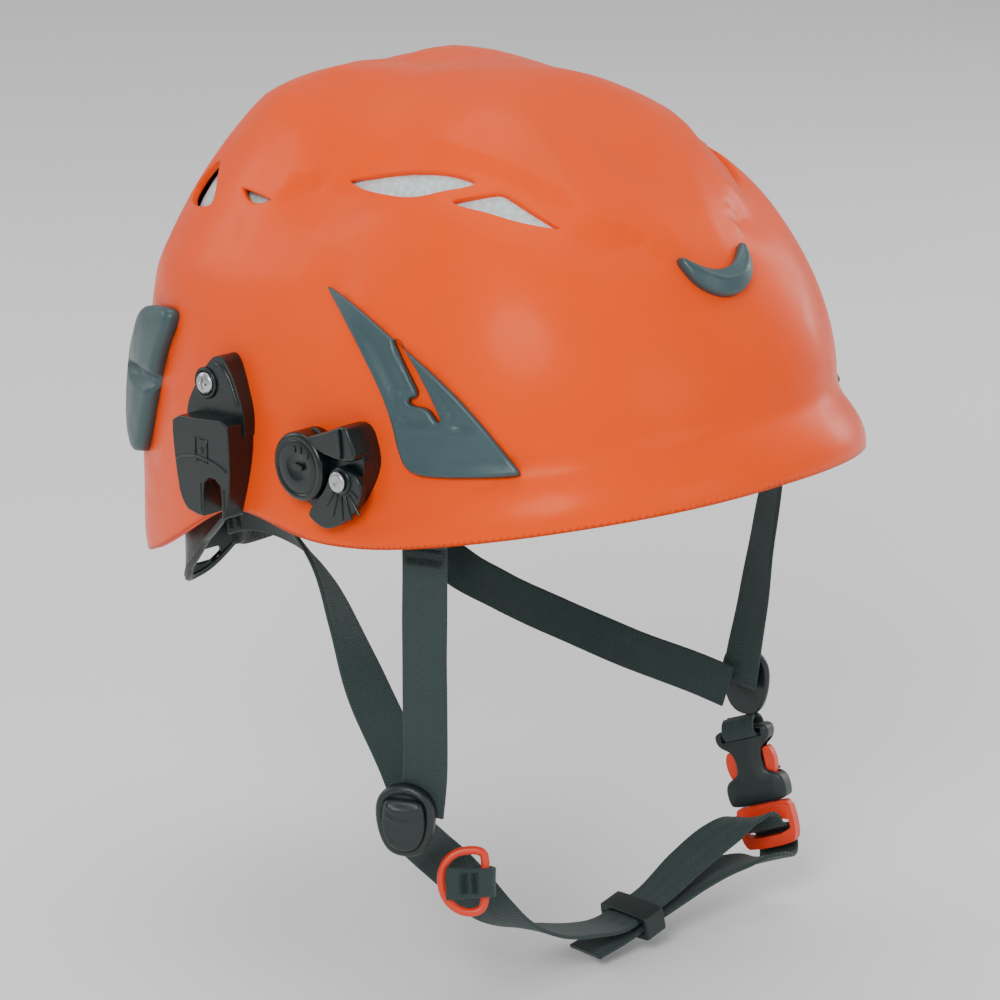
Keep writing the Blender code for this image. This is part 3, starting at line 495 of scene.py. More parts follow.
def build_shell():
    shares = np.concatenate((np.linspace(1, 0.9, 17)[1:-1], np.linspace(0.9, 0.012, 76)))
    grid = [(0.0, 0.0)]
    for share in shares:
        count = max(int(RIM_COUNT * share), 8)
        grid += [(share * math.sin(2 * math.pi * (i + 0.5) / count),
                  share * math.cos(2 * math.pi * (i + 0.5) / count)) for i in range(count)]
    grid = np.array(grid)
    turns = np.linspace(0, 2 * math.pi, RIM_COUNT + 1)[:-1]
    rim = np.stack((np.sin(turns), np.cos(turns)), axis=1)

    vents, pockets = [], []
    for outline in VENTS.values():
        smooth = dense_outline(rounded(outline, 3), 1.1)
        vents += [smooth, mirrored(smooth)]
    for outline in (PANEL, REAR_CLIP):
        smooth = dense_outline(rounded(outline, 2), 1.6)
        pockets += [smooth, mirrored(smooth)]
    vent_loops = [disc_of(outline) for outline in vents]
    pocket_loops = [disc_of(outline) for outline in pockets]
    lines = np.concatenate(vent_loops + pocket_loops)
    blocked = dome_surface(*from_disc(lines))
    grid = grid[clear_of(dome_surface(*from_disc(grid)), blocked, 1.0)]

    flat, faces, rings = triangles_through(grid, [rim] + vent_loops + pocket_loops)
    middles = flat[np.array(faces)].mean(axis=1)
    open_face = np.zeros(len(faces), bool)
    for loop in vent_loops:
        open_face |= inside(middles, loop)
    faces = [face for face, gone in zip(faces, open_face) if not gone]

    azimuth, elevation = from_disc(flat)
    outer = shell_surface(azimuth, elevation)
    normals = normals_of(shell_surface, azimuth, np.minimum(elevation, 89.4))
    count = len(outer)
    points = list(outer) + list(outer - normals * SHELL_THICKNESS)
    faces = faces + [tuple(i + count for i in reversed(face)) for face in faces]
    for number, ring in enumerate(rings[:1 + len(vent_loops)]):
        across = ring_sides(outer[ring], normals[ring])
        radius, away = (RIM_ROUNDING, 1) if number == 0 else (VENT_ROUNDING, -1)
        spread = smooth_ring(normals[ring]), smooth_ring(across * away)
        lip(points, faces, ring, [i + count for i in ring], spread[0], radius, spread[1])
    shell = outward(mesh_object("helmet_shell", *pruned(points, faces)))
    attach(shell, "root")
    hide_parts("outer_shell")
    return shell


# ---------------------------------------------------------------- materials
def new_material(name, colour, roughness, **settings):
    """A Principled material; its settings are the shader's own sockets by name."""
    material = bpy.data.materials.new(name)
    material.use_nodes = True
    shader = material.node_tree.nodes["Principled BSDF"]
    shader.inputs["Base Color"].default_value = (*colour, 1)
    shader.inputs["Roughness"].default_value = roughness
    for socket, value in settings.items():
        shader.inputs[socket.replace("_", " ")].default_value = value
    return material, material.node_tree, shader


def add_node(tree, kind, **settings):
    node = tree.nodes.new(kind)
    for name, value in settings.items():
        if name in node.inputs:
            node.inputs[name].default_value = value
        else:
            setattr(node, name, value)
    return node


def noise(tree, scale, detail=2.0, roughness=0.5):
    """Noise in the object's own coordinates, so that it moves with the piece."""
    place = add_node(tree, "ShaderNodeTexCoord")
    texture = add_node(tree, "ShaderNodeTexNoise", Scale=scale, Detail=detail, Roughness=roughness)
    tree.links.new(place.outputs["Object"], texture.inputs["Vector"])
    return texture.outputs["Fac"]


def ramp(tree, source, low, high, first, second):
    """Map a grey value between two limits onto two colours or numbers."""
    node = add_node(tree, "ShaderNodeMapRange")
    node.data_type = "FLOAT_VECTOR" if isinstance(first, tuple) else "FLOAT"
    if isinstance(first, tuple):
        sockets = [s for s in node.inputs if s.enabled]
        tree.links.new(source, sockets[0])
        for socket, value in zip(sockets[1:5], ((low,) * 3, (high,) * 3, first, second)):
            socket.default_value = value
        return next(s for s in node.outputs if s.enabled)
    tree.links.new(source, node.inputs["Value"])
    for name, value in (("From Min", low), ("From Max", high), ("To Min", first), ("To Max", second)):
        node.inputs[name].default_value = value
    return node.outputs["Result"]


def bump(tree, shader, source, strength, distance=0.001):
    node = add_node(tree, "ShaderNodeBump", Strength=strength, Distance=distance)
    tree.links.new(source, node.inputs["Height"])
    before = shader.inputs["Normal"].links
    if before:
        tree.links.new(before[0].from_socket, node.inputs["Normal"])
    tree.links.new(node.outputs["Normal"], shader.inputs["Normal"])


def moulded(name, colour, roughness, grain=900.0, depth=0.12, spread=0.12, **settings):
    """Moulded plastic: a fine grain, faint mottling and uneven gloss."""
    material, tree, shader = new_material(name, colour, roughness, **settings)
    darker = tuple(c * (1 - spread) for c in colour)
    lighter = tuple(min(c * (1 + spread), 1) for c in colour)
    tone = ramp(tree, noise(tree, 30, 4), 0.3, 0.7, darker, lighter)
    tree.links.new(tone, shader.inputs["Base Color"])
    gloss = ramp(tree, noise(tree, 75, 5, 0.6), 0.35, 0.7, roughness * 0.82, roughness * 1.22)
    tree.links.new(gloss, shader.inputs["Roughness"])
    bump(tree, shader, noise(tree, grain, 2), depth, 0.0002)
    return material


def orange_gloss():
    """The shell's lacquered plastic: even orange, faint orange peel and fine rubbed marks."""
    return moulded("orange_shell_gloss", (0.90, 0.070, 0.0), 0.38, 420, 0.04, 0.025,
                   Coat_Weight=0.05, Coat_Roughness=0.16, Specular_IOR_Level=0.2,
                   Specular_Tint=(1.0, 0.62, 0.35, 1.0))


MATERIALS = {
    "orange_shell": orange_gloss(),
    "slate": moulded("slate_plastic", (0.033, 0.072, 0.080), 0.4, 1500, 0.2, 0.1),
    "black_green": moulded("black_green_plastic", (0.004, 0.010, 0.0095), 0.3, 700, 0.08, 0.2),
    "dark_plastic": moulded("dark_plastic", (0.008, 0.016, 0.0155), 0.42, 1100, 0.2, 0.15),
    "orange_part": moulded("orange_red_plastic", (0.74, 0.036, 0.005), 0.42, 900, 0.15, 0.06),
    "steel": moulded("screw_steel", (0.5, 0.51, 0.52), 0.32, 1500, 0.1, 0.05, Metallic=1.0),
    "band": moulded("band_plastic", (0.03, 0.038, 0.038), 0.5, 900, 0.2, 0.1),
}


def paint(thing, slot):
    thing.data.materials.clear()
    thing.data.materials.append(MATERIALS[slot])
    return thing


# ---------------------------------------------------------------- stage, light and camera
CAMERA_TURN, CAMERA_TILT, CAMERA_DISTANCE = -45.2, 17.0, 1.4
CAMERA_LENS, SENSOR_WIDTH = 140.1, 36
CAMERA_TARGET = Vector((-0.0031, 0.0005, -0.006))
FLOOR_DROP, FLOOR_SIZE = 0.004, 6


def make_camera():
    data = bpy.data.cameras.new("camera")
    data.lens, data.sensor_width = CAMERA_LENS, SENSOR_WIDTH
    camera = bpy.data.objects.new("camera", data)
    turn, tilt = math.radians(CAMERA_TURN), math.radians(CAMERA_TILT)
    back = Vector((math.sin(turn) * math.cos(tilt), -math.cos(turn) * math.cos(tilt), math.sin(tilt)))
    camera.location = CAMERA_TARGET + back * CAMERA_DISTANCE
    camera.rotation_euler = back.to_track_quat("Z", "Y").to_euler()
    bpy.context.scene.collection.objects.link(camera)
    bpy.context.scene.camera = camera


def make_floor():
    mesh = bpy.data.meshes.new("floor")
    bm = bmesh.new()
    bmesh.ops.create_grid(bm, x_segments=8, y_segments=8, size=FLOOR_SIZE)
    bm.to_mesh(mesh)
    bm.free()
    floor = bpy.data.objects.new("floor", mesh)
    floor.location.z = CAD_BOX[0].z - FLOOR_DROP
    bpy.context.scene.collection.objects.link(floor)
    material, tree, shader = new_material("floor_paper", (0.88, 0.88, 0.88), 0.7)
    tree.links.new(ramp(tree, noise(tree, 3, 2), 0.3, 0.7, (0.87, 0.87, 0.87), (0.9, 0.9, 0.9)),
                   shader.inputs["Base Color"])
    floor.data.materials.append(material)


def area_light(name, towards, distance, size, power, colour=(1, 1, 1), aim=(0, 0, 0)):
    data = bpy.data.lights.new(name, "AREA")
    data.shape, data.size, data.size_y = "ELLIPSE", size[0], size[1]
    data.energy, data.color = power, colour
    light = bpy.data.objects.new(name, data)
    direction = Vector(towards).normalized()
    light.location = Vector(aim) + direction * distance
    light.rotation_euler = direction.to_track_quat("Z", "Y").to_euler()
    bpy.context.scene.collection.objects.link(light)


def make_lights():
    area_light("key", (-0.73, -0.41, 0.56), 1.7, (0.75, 0.75), 17)
    area_light("top", (0.1, 0.15, 1), 2.0, (1.8, 1.8), 17)
    area_light("front_fill", (0.1, -1, 0.25), 2.2, (1.4, 1.2), 8)
    area_light("rim_right", (1, -0.1, 0.35), 1.8, (0.5, 1.4), 9)
    area_light("rim_rear", (-0.5, 1, 0.5), 2.0, (0.8, 1.2), 7)
    world = bpy.data.worlds.new("studio")
    world.use_nodes = True
    world.node_tree.nodes["Background"].inputs["Color"].default_value = (1, 1, 1, 1)
    world.node_tree.nodes["Background"].inputs["Strength"].default_value = 0.5
    bpy.context.scene.world = world


# ---------------------------------------------------------------- plates that lie on the dome
def chart_surface(place, lift):
    """Points over the plain dome from chart places, each lifted along the dome's normal."""
    azimuth, height = place[:, 0] / CHART[0], place[:, 1] / CHART[1]
    elevation = elevation_at(azimuth, height)
    normal = normals_of(dome_surface, azimuth, elevation)
    return dome_surface(azimuth, elevation) + normal * np.asarray(lift)[:, None], normal


def enclosed(faces, rings, seed):
    """The faces that can be reached from the seed without crossing a ring."""
    walls = {frozenset(pair) for ring in rings for pair in zip(ring, np.roll(ring, -1).tolist())}
    beside = {}
    for number, face in enumerate(faces):
        for pair in zip(face, face[1:] + face[:1]):
            beside.setdefault(frozenset(pair), []).append(number)
    found, queue = set(), [seed]
    while queue:
        number = queue.pop()
        if number in found:
            continue
        found.add(number)
        face = faces[number]
        for pair in zip(face, face[1:] + face[:1]):
            if frozenset(pair) not in walls:
                queue += beside[frozenset(pair)]
    return [faces[number] for number in sorted(found)]


def inset_loops(outline, steps):
    """Copies of a chart outline moved inwards, without the points that end up too close."""
    tangent = np.roll(outline, -1, axis=0) - np.roll(outline, 1, axis=0)
    tangent /= np.maximum(np.linalg.norm(tangent, axis=1, keepdims=True), 1e-9)
    inward = np.stack((-tangent[:, 1], tangent[:, 0]), axis=1)
    if not inside(outline[:1] + inward[:1] * 0.2, outline)[0]:
        inward = -inward
    rows = []
    for step in steps:
        moved = outline + inward * step
        gap = nearest_on(moved, outline)[0]
        rows.append(moved[(gap > step * 0.93) & inside(moved, outline)])
    return rows


def dome_plate(name, outline, base, top, edge, spacing, holes=(), shape=None, side=-1):
    """A plate on the dome with rounded edges, from an outline of azimuths and heights.

    base and top are lifts over the plain dome. shape gives an extra lift from chart places.
    """
    steps = (0.15 * edge, 0.4 * edge, 0.7 * edge, edge, 1.6 * edge)
    loops = [resampled(np.array(line) * CHART, max(edge * 0.8, 0.8)) for line in (outline, *holes)]
    chart = loops[0]
    low, high = chart.min(0), chart.max(0)
    columns, rows = (np.arange(a, b, spacing) for a, b in zip(low, high))
    grid = np.stack(np.meshgrid(columns, rows), axis=-1).reshape(-1, 2)
    grid = grid[inside(grid, chart)]
    inner_rows = inset_loops(chart, steps)
    for line in loops[1:]:
        middle = line.mean(0)
        inner_rows += [middle + (line - middle) * (1 + step / np.linalg.norm(line - middle, axis=1,
                       keepdims=True)) for step in steps]
    extra = np.concatenate(inner_rows)
    for line in loops:
        extra = extra[nearest_on(extra, line)[0] > 0.13 * edge]
        extra = extra[inside(extra, line) == (line is chart)]
    grid = grid[clear_of(grid, np.concatenate((extra, *loops)), spacing * 0.55)]
    flat, faces, rings = triangles_through(np.concatenate((grid, extra)), loops)
    middles = flat[np.array(faces)].mean(axis=1)
    solid = inside(middles, chart)
    for line in loops[1:]:
        solid &= ~inside(middles, line)
    if holes:
        faces = [face for face, kept in zip(faces, solid) if kept]
    else:
        faces = enclosed(faces, rings, int(np.argmax(nearest_on(middles, chart)[0] * solid)))
    gap = np.min([nearest_on(flat, line)[0] for line in loops], axis=0)
    dip = edge - np.sqrt(np.maximum(edge ** 2 - np.maximum(edge - gap, 0) ** 2, 0))
    lift = top - dip
    if shape is not None:
        lift = lift + shape(flat, gap)
    upper, _ = chart_surface(flat, np.maximum(lift, base + 0.05))
    lower, _ = chart_surface(flat, np.full(len(flat), float(base)))
    count = len(flat)
    points = np.concatenate((upper, lower))
    faces += [tuple(i + count for i in reversed(face)) for face in faces]
    for ring in rings:
        for i in range(len(ring)):
            a, b = ring[i], ring[(i + 1) % len(ring)]
            faces.append((a, b, b + count, a + count))
    if side > 0:
        points = points * (-1, 1, 1)
    return outward(mesh_object(name, *pruned(points, faces)))


def settle(thing, slot, body="root", replaced=None):
    """Give a piece its material and its body, and hide the CAD node that it stands for.

    A strap that bends between two bodies has none.
    """
    paint(thing, slot)
    if body:
        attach(thing, body)
    if replaced:
        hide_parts(replaced)
    return thing


# ---------------------------------------------------------------- side panels and lamp clips
PANEL_SLIT = ((67.6, 77), (66.2, 77.2), (65.4, 75.6), (62.2, 69.4), (59.6, 63), (57.4, 56), (56.5, 53),
              (57.5, 52.7), (58.2, 54.4), (59.4, 56.8), (62.9, 57), (63.3, 59.2), (60.9, 60.2), (63.9, 68),
              (66.9, 74.8))
PANEL_SHELF = ((66.5, 51.6), (57, 50.4), (47, 50.8))
CLIP_TONGUE = ((130.5, 40.6), (141, 41.6), (144.4, 40.4), (144.4, 36.8), (141, 35.6), (131, 35))


def panel_shape(flat, gap):
    """Hollow behind the slit, a shelf near the foot and a border that stands up."""
    height = flat[:, 1] / CHART[1]
    shelf_distance, place, _ = nearest_on(flat, np.array(PANEL_SHELF) * CHART, False)
    above = smoothstep(-0.9, 0.9, flat[:, 1] - place[:, 1])
    hollow = smoothstep(2.2, 5.8, gap) * above * smoothstep(84, 74, height)
    foot = (1 - above) * smoothstep(2.2, 4.5, gap)
    rib = 0.5 * (1 - smoothstep(0.3, 1.5, shelf_distance)) * smoothstep(1.2, 3, gap)
    return rib - 1.2 * hollow - 0.25 * foot


def build_panels():
    for word, side in (("right", -1), ("left", 1)):
        panel = dome_plate(f"panel_{word}", rounded(PANEL, 2), -1.0, 1.9, 1.1, 1.7,
                           [rounded(PANEL_SLIT, 2)], panel_shape, side)
        settle(panel, "slate", "root", f"side_panel_{word}")
        clip = dome_plate(f"lamp_clip_rear_{word}", rounded(REAR_CLIP, 2), -1.0, 5.6, 2.8, 2.4,
                          (), rear_clip_shape, side)
        settle(clip, "slate", "root", f"rear_lamp_clip_{word}")
    clip = dome_plate("lamp_clip_front", rounded(FRONT_CLIP, 2), -1.5, 3.6, 1.8, 1.1,
                      (), lambda flat, gap: 1.7 * smoothstep(1.0, 4.5, gap))
    settle(clip, "slate", "root", "front_lamp_clip")


def rear_clip_shape(flat, gap):
    """Crowned, with a shallow dent across it where a lamp's strap would go."""
    line = np.array(CLIP_TONGUE) * CHART
    slot = inside(flat, rounded(line, 2))
    distance = nearest_on(flat, rounded(line, 2))[0]
    inward = np.where(slot, distance, 0)
    azimuth = flat[:, 0] / CHART[0]
    crown = 1.2 * smoothstep(2, 9, gap) + 0.4 * smoothstep(136, 148, azimuth)
    return crown - 3.4 * smoothstep(0, 1.1, inward)


# ---------------------------------------------------------------- solids in a frame of their own
def frame_at(centre, across, up):
    """A matrix whose X, Y and Z are across, up and outward, with its origin at the centre."""
    x = Vector(across).normalized()
    z = x.cross(Vector(up)).normalized()
    matrix = Matrix((x, z.cross(x), z)).transposed().to_4x4()
    matrix.translation = Vector(centre)
    return matrix


def side_frame(side, centre=(0, 0), depth=0.0):
    """The side plane: X is forward on the right and backward on the left, and Z is outward."""
    return frame_at((side * depth, *centre), (0, side, 0), (0, 0, 1))


def side_outline(outline, side, centre=(0, 0)):
    """An outline of y and z as coordinates of the side frame."""
    return [(side * (y - centre[0]), z - centre[1]) for y, z in outline]


def bulk_object(name, bm, matrix):
    """An object from a closed bmesh in millimetres, with its faces turned outward.

    Booleans need that, and the normals are stale after a transform until they are updated.
    """
    bm.transform(matrix)
    bm.normal_update()
    bmesh.ops.recalc_face_normals(bm, faces=bm.faces)
    if bm.calc_volume(signed=True) < 0:
        bmesh.ops.reverse_faces(bm, faces=bm.faces)
    bm.transform(Matrix.Scale(MM, 4))
    mesh = bpy.data.meshes.new(name)
    bm.to_mesh(mesh)
    bm.free()
    return placed(name, mesh)


def extruded(name, outline, low, high, matrix, bevel=0.6, segments=3, smooth=2):
    """A plate from an outline, with its corners cut and its edges rounded."""
    bm = bmesh.new()
    points = rounded(outline, smooth) if smooth else np.array(outline, float)
    face = bm.faces.new([bm.verts.new((a, b, low)) for a, b in points])
    made = bmesh.ops.extrude_face_region(bm, geom=[face])
    tops = [v for v in made["geom"] if isinstance(v, bmesh.types.BMVert)]
    bmesh.ops.translate(bm, verts=tops, vec=(0, 0, high - low))
    thing = bulk_object(name, bm, matrix)
    if bevel:
        round_edges(thing, bevel, segments)
    return thing


def round_edges(thing, width, segments=3, angle=35):
    modifier = thing.modifiers.new("edges", "BEVEL")
    modifier.width, modifier.segments = width * MM, segments
    modifier.limit_method, modifier.angle_limit = "ANGLE", math.radians(angle)
    thing.modifiers.new("normals", "WEIGHTED_NORMAL")


def spun(name, profile, matrix, count=40, hollow=False):
    """A turned solid from pairs of radius and height: capped at its ends, or a ring if hollow."""
    bm = bmesh.new()
    rings = []
    for radius, height in profile:
        if radius == 0:
            rings.append([bm.verts.new((0, 0, height))])
            continue
        angles = [2 * math.pi * i / count for i in range(count)]
        rings.append([bm.verts.new((radius * math.cos(a), radius * math.sin(a), height)) for a in angles])
    pairs = list(zip(rings, rings[1:])) + ([(rings[-1], rings[0])] if hollow else [])
    for low, high in pairs:
        for i in range(count):
            j = (i + 1) % count
            if len(low) == 1:
                bm.faces.new((low[0], high[i], high[j]))
            elif len(high) == 1:
                bm.faces.new((low[i], low[j], high[0]))
            else:
                bm.faces.new((low[i], low[j], high[j], high[i]))
    for ring in () if hollow else (rings[0], rings[-1]):
        if len(ring) > 1:
            bm.faces.new(ring)
    return bulk_object(name, bm, matrix)


def bead(name, points, radius, matrix=Matrix(), closed=False):
    """A round rib or wire through points."""
    curve = bpy.data.curves.new(name, "CURVE")
    curve.dimensions, curve.bevel_depth, curve.bevel_resolution = "3D", radius * MM, 3
    curve.use_fill_caps = True
    spline_of = curve.splines.new("POLY")
    spline_of.points.add(len(points) - 1)
    spline_of.use_cyclic_u = closed
    for point, place in zip(spline_of.points, points):
        point.co = (*(matrix @ Vector(place) * MM), 1)
    source = bpy.data.objects.new(name, curve)
    bpy.context.scene.collection.objects.link(source)
    return outward(baked(source))


def baked(thing):
    """The object with its modifiers applied, as a mesh object."""
    bpy.context.view_layer.update()
    graph = bpy.context.evaluated_depsgraph_get()
    mesh = bpy.data.meshes.new_from_object(thing.evaluated_get(graph))
    name = thing.name
    bpy.data.objects.remove(thing)
    return placed(name, mesh)


def carve(thing, *tools, operation="DIFFERENCE"):
    """Cut tools out of a piece, or join them to it, and remove them."""
    for tool in tools:
        modifier = thing.modifiers.new("carve", "BOOLEAN")
        modifier.operation, modifier.object, modifier.solver = operation, tool, "EXACT"
    made = baked(thing)
    for tool in tools:
        bpy.data.objects.remove(tool)
    return made


def joined(name, things):
    """One object out of several, with their modifiers applied."""
    bm = bmesh.new()
    for thing in things:
        thing = baked(thing)
        bm.from_mesh(thing.data)
        bpy.data.objects.remove(thing)
    mesh = bpy.data.meshes.new(name)
    bm.to_mesh(mesh)
    bm.free()
    return placed(name, mesh)


def sharp_shaded(thing):
    thing.modifiers.new("normals", "WEIGHTED_NORMAL")
    return thing


# ---------------------------------------------------------------- side fittings
EARMUFF_FACE, TAB_FACE = 112, 105
TAB = ((22.5, 40), (24.5, 46), (29, 55), (33, 60), (37.5, 60.2), (42, 56), (49, 46.5), (53, 39), (52.6, 30),
       (23, 30))
BLOCK = ((24, 40.5), (38, 38.6), (52.5, 37.6), (52.8, 30), (50.2, 12), (48, 7), (44.2, 3.8), (27.2, 3.8),
         (25, 8), (23, 18), (23.2, 32))
ARCH = ((27.6, 0), (27.6, 12.5), (28.2, 16.6), (31, 18.4), (33.8, 18.4), (36.4, 16.6), (37, 12.5), (37, 0))
SOCKET = ((38.4, 0), (38.4, 33), (47.5, 33), (47.5, 0))
SCREW_PLACE = (42, 49.5)
VISOR_FACE, VISOR_BASE_FACE = 110.8, 106
HUB_PLACE, HUB_RADIUS = (-10.2, 31.2), 12
PIVOT_PLACE = (-30.4, 30.3)
VISOR_BASE = ((2, 24), (1.5, 33), (-6, 39.5), (-20, 44.6), (-33, 50.6), (-38.5, 38.6), (-37, 30), (-34, 21),
              (-28, 16.5), (-22.5, 14), (-13, 16.5), (-5, 19.9))
VISOR_BLOCK = ((-12, 41.8), (-24, 46.2), (-33, 50.4), (-36, 45), (-38.3, 38.7), (-32, 37.2), (-20, 38))
QUADRANT = ((-33, 34.6), (-37.6, 33.4), (-40, 30.1), (-39.6, 26), (-37, 21), (-33, 17),
            (-28.8, 14.2), (-22.2, 11.3), (-16, 13), (-13.2, 15.3), (-17.5, 20.5), (-22.8, 26.5),
            (-25.5, 34.4))


def dome_depth(y, z):
    """How far out the dome's side is at a place of the side plane."""
    depth = 100.0
    for _ in range(16):
        azimuth = math.degrees(math.atan2(depth, -y))
        elevation = math.degrees(math.atan2(z - DOME_CENTRE[2], math.hypot(depth, y)))
        radius = float(dome_radius(azimuth, elevation))
        depth = math.sqrt(max(radius ** 2 - y ** 2 - (z - DOME_CENTRE[2]) ** 2, 1))
    return depth


def side_solid(name, outline, face, side, bevel=0.9, sink=0.8, smooth=2):
    """A fitting from the dome's side out to a face."""
    points = rounded(outline, smooth)
    bm = bmesh.new()
    outer = [bm.verts.new((side * y, z, face)) for y, z in points]
    inner = [bm.verts.new((side * y, z, dome_depth(y, z) - sink)) for y, z in points]
    bm.faces.new(outer)
    bm.faces.new(inner)
    for i in range(len(points)):
        j = (i + 1) % len(points)
        bm.faces.new((outer[i], outer[j], inner[j], inner[i]))
    bmesh.ops.triangulate(bm, faces=[f for f in bm.faces if len(f.verts) > 4 and inner[0] in f.verts])
    thing = bulk_object(name, bm, side_frame(side))
    if bevel:
        round_edges(thing, bevel)
    return thing


def cutter(name, outline, low, high, side, smooth=0):
    return extruded(name, side_outline(outline, side), low, high, side_frame(side), 0, 0, smooth)


def arc_points(centre, radius, first, last, depth, side, count=14):
    turns = [math.radians(first + (last - first) * i / (count - 1)) for i in range(count)]
    return [(side * (centre[0] + radius * math.cos(t)), centre[1] + radius * math.sin(t), depth)
            for t in turns]


def build_earmuff_adapter(word, side):
    plane = side_frame(side)
    tab = baked(side_solid("tab", TAB, TAB_FACE, side, 1.3))
    block = side_solid("block", BLOCK, EARMUFF_FACE, side, 0, 0.8, 1)
    block = carve(block, cutter("arch", ARCH, 90, 120, side), cutter("socket", SOCKET, 104.4, 108.6, side))
    round_edges(block, 0.8, 3, 40)
    tab = carve(tab, cutter("tab_arch", ARCH, 90, 120, side))
    face = EARMUFF_FACE
    ridge = bead("ridge", arc_points((37.5, -6), 31, 65, 114, face, side), 0.55, plane)
    square = [(side * y, z, face + 0.1) for y, z in rectangle(40.5, 31.5, 34.5, 23.5)]
    mark = bead("mark", square, 0.4, plane, True)
    dot = spun("dot", ((1.1, 0), (1.1, 0.3), (0.7, 0.55), (0, 0.6)),
               side_frame(side, (37.5, 27.5), face - 0.1), 16)
    collar = spun("collar", ((5.6, -3), (5.6, 0.5), (5.2, 0.9), (4.5, 0.9), (4.3, 0.1), (4.3, -3)),
                  side_frame(side, SCREW_PLACE, TAB_FACE), 36, True)
    wing = [(side * y, z, TAB_FACE - 0.2) for y, z in ((26, 44), (30, 52.5), (34, 57), (37, 57))]
    rib = bead("rib", wing, 0.9, plane)
    legs = [bead("leg", [(side * y, z, face - 0.1) for z in (5.5, 11, 15.5)], 0.5, plane)
            for y in (26.3, 38.3)]
    adapter = joined(f"adapter_earmuff_{word}", [tab, block, ridge, mark, dot, collar, rib, *legs])
    settle(sharp_shaded(adapter), "black_green", "root", f"earmuff_adapter_{word}")


def build_screw(word, side):
    """A pan-head screw with a cross recess."""
    place = side_frame(side, SCREW_PLACE, TAB_FACE)
    head = spun("head", ((4, 0.2), (4, 0.9), (3.6, 1.5), (2.6, 1.9), (1.2, 2.05), (0, 2.1)), place, 32)
    tools = [extruded("recess", rectangle(-a, -b, a, b), 0.9, 4, place, 0, 0, 0)
             for a, b in ((2.2, 0.45), (0.45, 2.2))]
    screw = carve(head, *tools)
    screw.name = f"screw_{word}"
    settle(sharp_shaded(screw), "steel", "root", f"adapter_screw_{word}")


def build_visor_adapter(word, side):
    base = side_solid("base", VISOR_BASE, VISOR_BASE_FACE, side, 0.9)
    block = side_solid("upper", VISOR_BLOCK, VISOR_FACE - 0.6, side, 1.2, -2, 1)
    ridge = ((-30.6, 38.4), (-32.2, 38.2), (-31.2, 48.8), (-29.6, 48.2))
    ridge = side_solid("ridge", ridge, VISOR_FACE + 0.5, side, 0.5, -2, 1)
    face = VISOR_FACE - VISOR_BASE_FACE
    profile = ((HUB_RADIUS, -8), (HUB_RADIUS, face - 1.2), (HUB_RADIUS - 0.4, face - 0.4),
               (HUB_RADIUS - 1.2, face), (9.9, face), (9.6, face - 0.5), (9.1, face - 0.5),
               (8.8, face), (5.0, face), (4.6, face - 0.7), (0, face - 0.7))
    hub = spun("hub", profile, side_frame(side, HUB_PLACE, VISOR_BASE_FACE), 48)
    marks = []
    for y, z, wide, tall in ((-15.2, 36.2, 1.6, 2.4), (-12, 37.4, 1.2, 2.6), (-8.8, 37.2, 1.8, 2.4)):
        outline = rectangle(-wide / 2, -tall / 2, wide / 2, tall / 2)
        marks.append(extruded("mark", outline, -0.2, 0.45, side_frame(side, (y, z), VISOR_FACE), 0.2, 2, 1))
    stop = extruded("stop", rectangle(-2.6, -1.2, 2.6, 1.2), -1, 0.5,
                    side_frame(side, HUB_PLACE, VISOR_FACE - 0.2), 0.3, 2, 1)
    arc = arc_points(HUB_PLACE, HUB_RADIUS + 1.6, 104, 142, VISOR_BASE_FACE, side)
    shoulder = bead("shoulder", arc, 0.9, side_frame(side))
    adapter = joined(f"adapter_visor_{word}", [base, block, ridge, hub, stop, shoulder, *marks])
    settle(sharp_shaded(adapter), "black_green", "root", f"visor_adapter_{word}")


def build_quadrant(word, side):
    """The small arm that turns on the adapter, ribbed like a fan."""
    plane, pivot = side_frame(side), side_frame(side, PIVOT_PLACE, VISOR_BASE_FACE)
    low, high = VISOR_BASE_FACE + 0.45, VISOR_FACE - 1.3
    plate = extruded("plate", side_outline(QUADRANT, side), low, high, plane, 0.7, 3, 2)
    hole = spun("hole", ((2.45, -2), (2.45, 9)), pivot, 24)
    plate = carve(plate, hole)
    boss = spun("boss", ((2.45, 1), (2.45, 3.9), (2.8, 4.2), (4.3, 4.2), (4.8, 3.7), (4.8, 1)),
                pivot, 32, True)
    ribs = []
    y, z = PIVOT_PLACE
    for turn, reach in ((-152, 9), (-132, 13.6), (-112, 13.6), (-92, 13.6), (-72, 13.6), (-54, 12)):
        t = math.radians(turn)
        line = [(side * (y + r * math.cos(t)), z + r * math.sin(t), high) for r in (5.4, 9, reach)]
        ribs.append(bead("rib", line, 0.55, plane))
    quadrant = joined(f"quadrant_{word}", [plate, boss, *ribs])
    settle(sharp_shaded(quadrant), "black_green", f"visor_{word}", f"visor_quadrant_{word}")
    profile = ((2.0, 0.3), (2.0, 4.8), (3.4, 4.8), (3.6, 5.1), (3.5, 5.7), (2.9, 6.1),
               (1.3, 6.1), (0.9, 5.6), (0, 5.5))
    pin = spun(f"rivet_{word}", profile, pivot, 32)
    settle(sharp_shaded(pin), "steel", "root", f"visor_pivot_{word}")


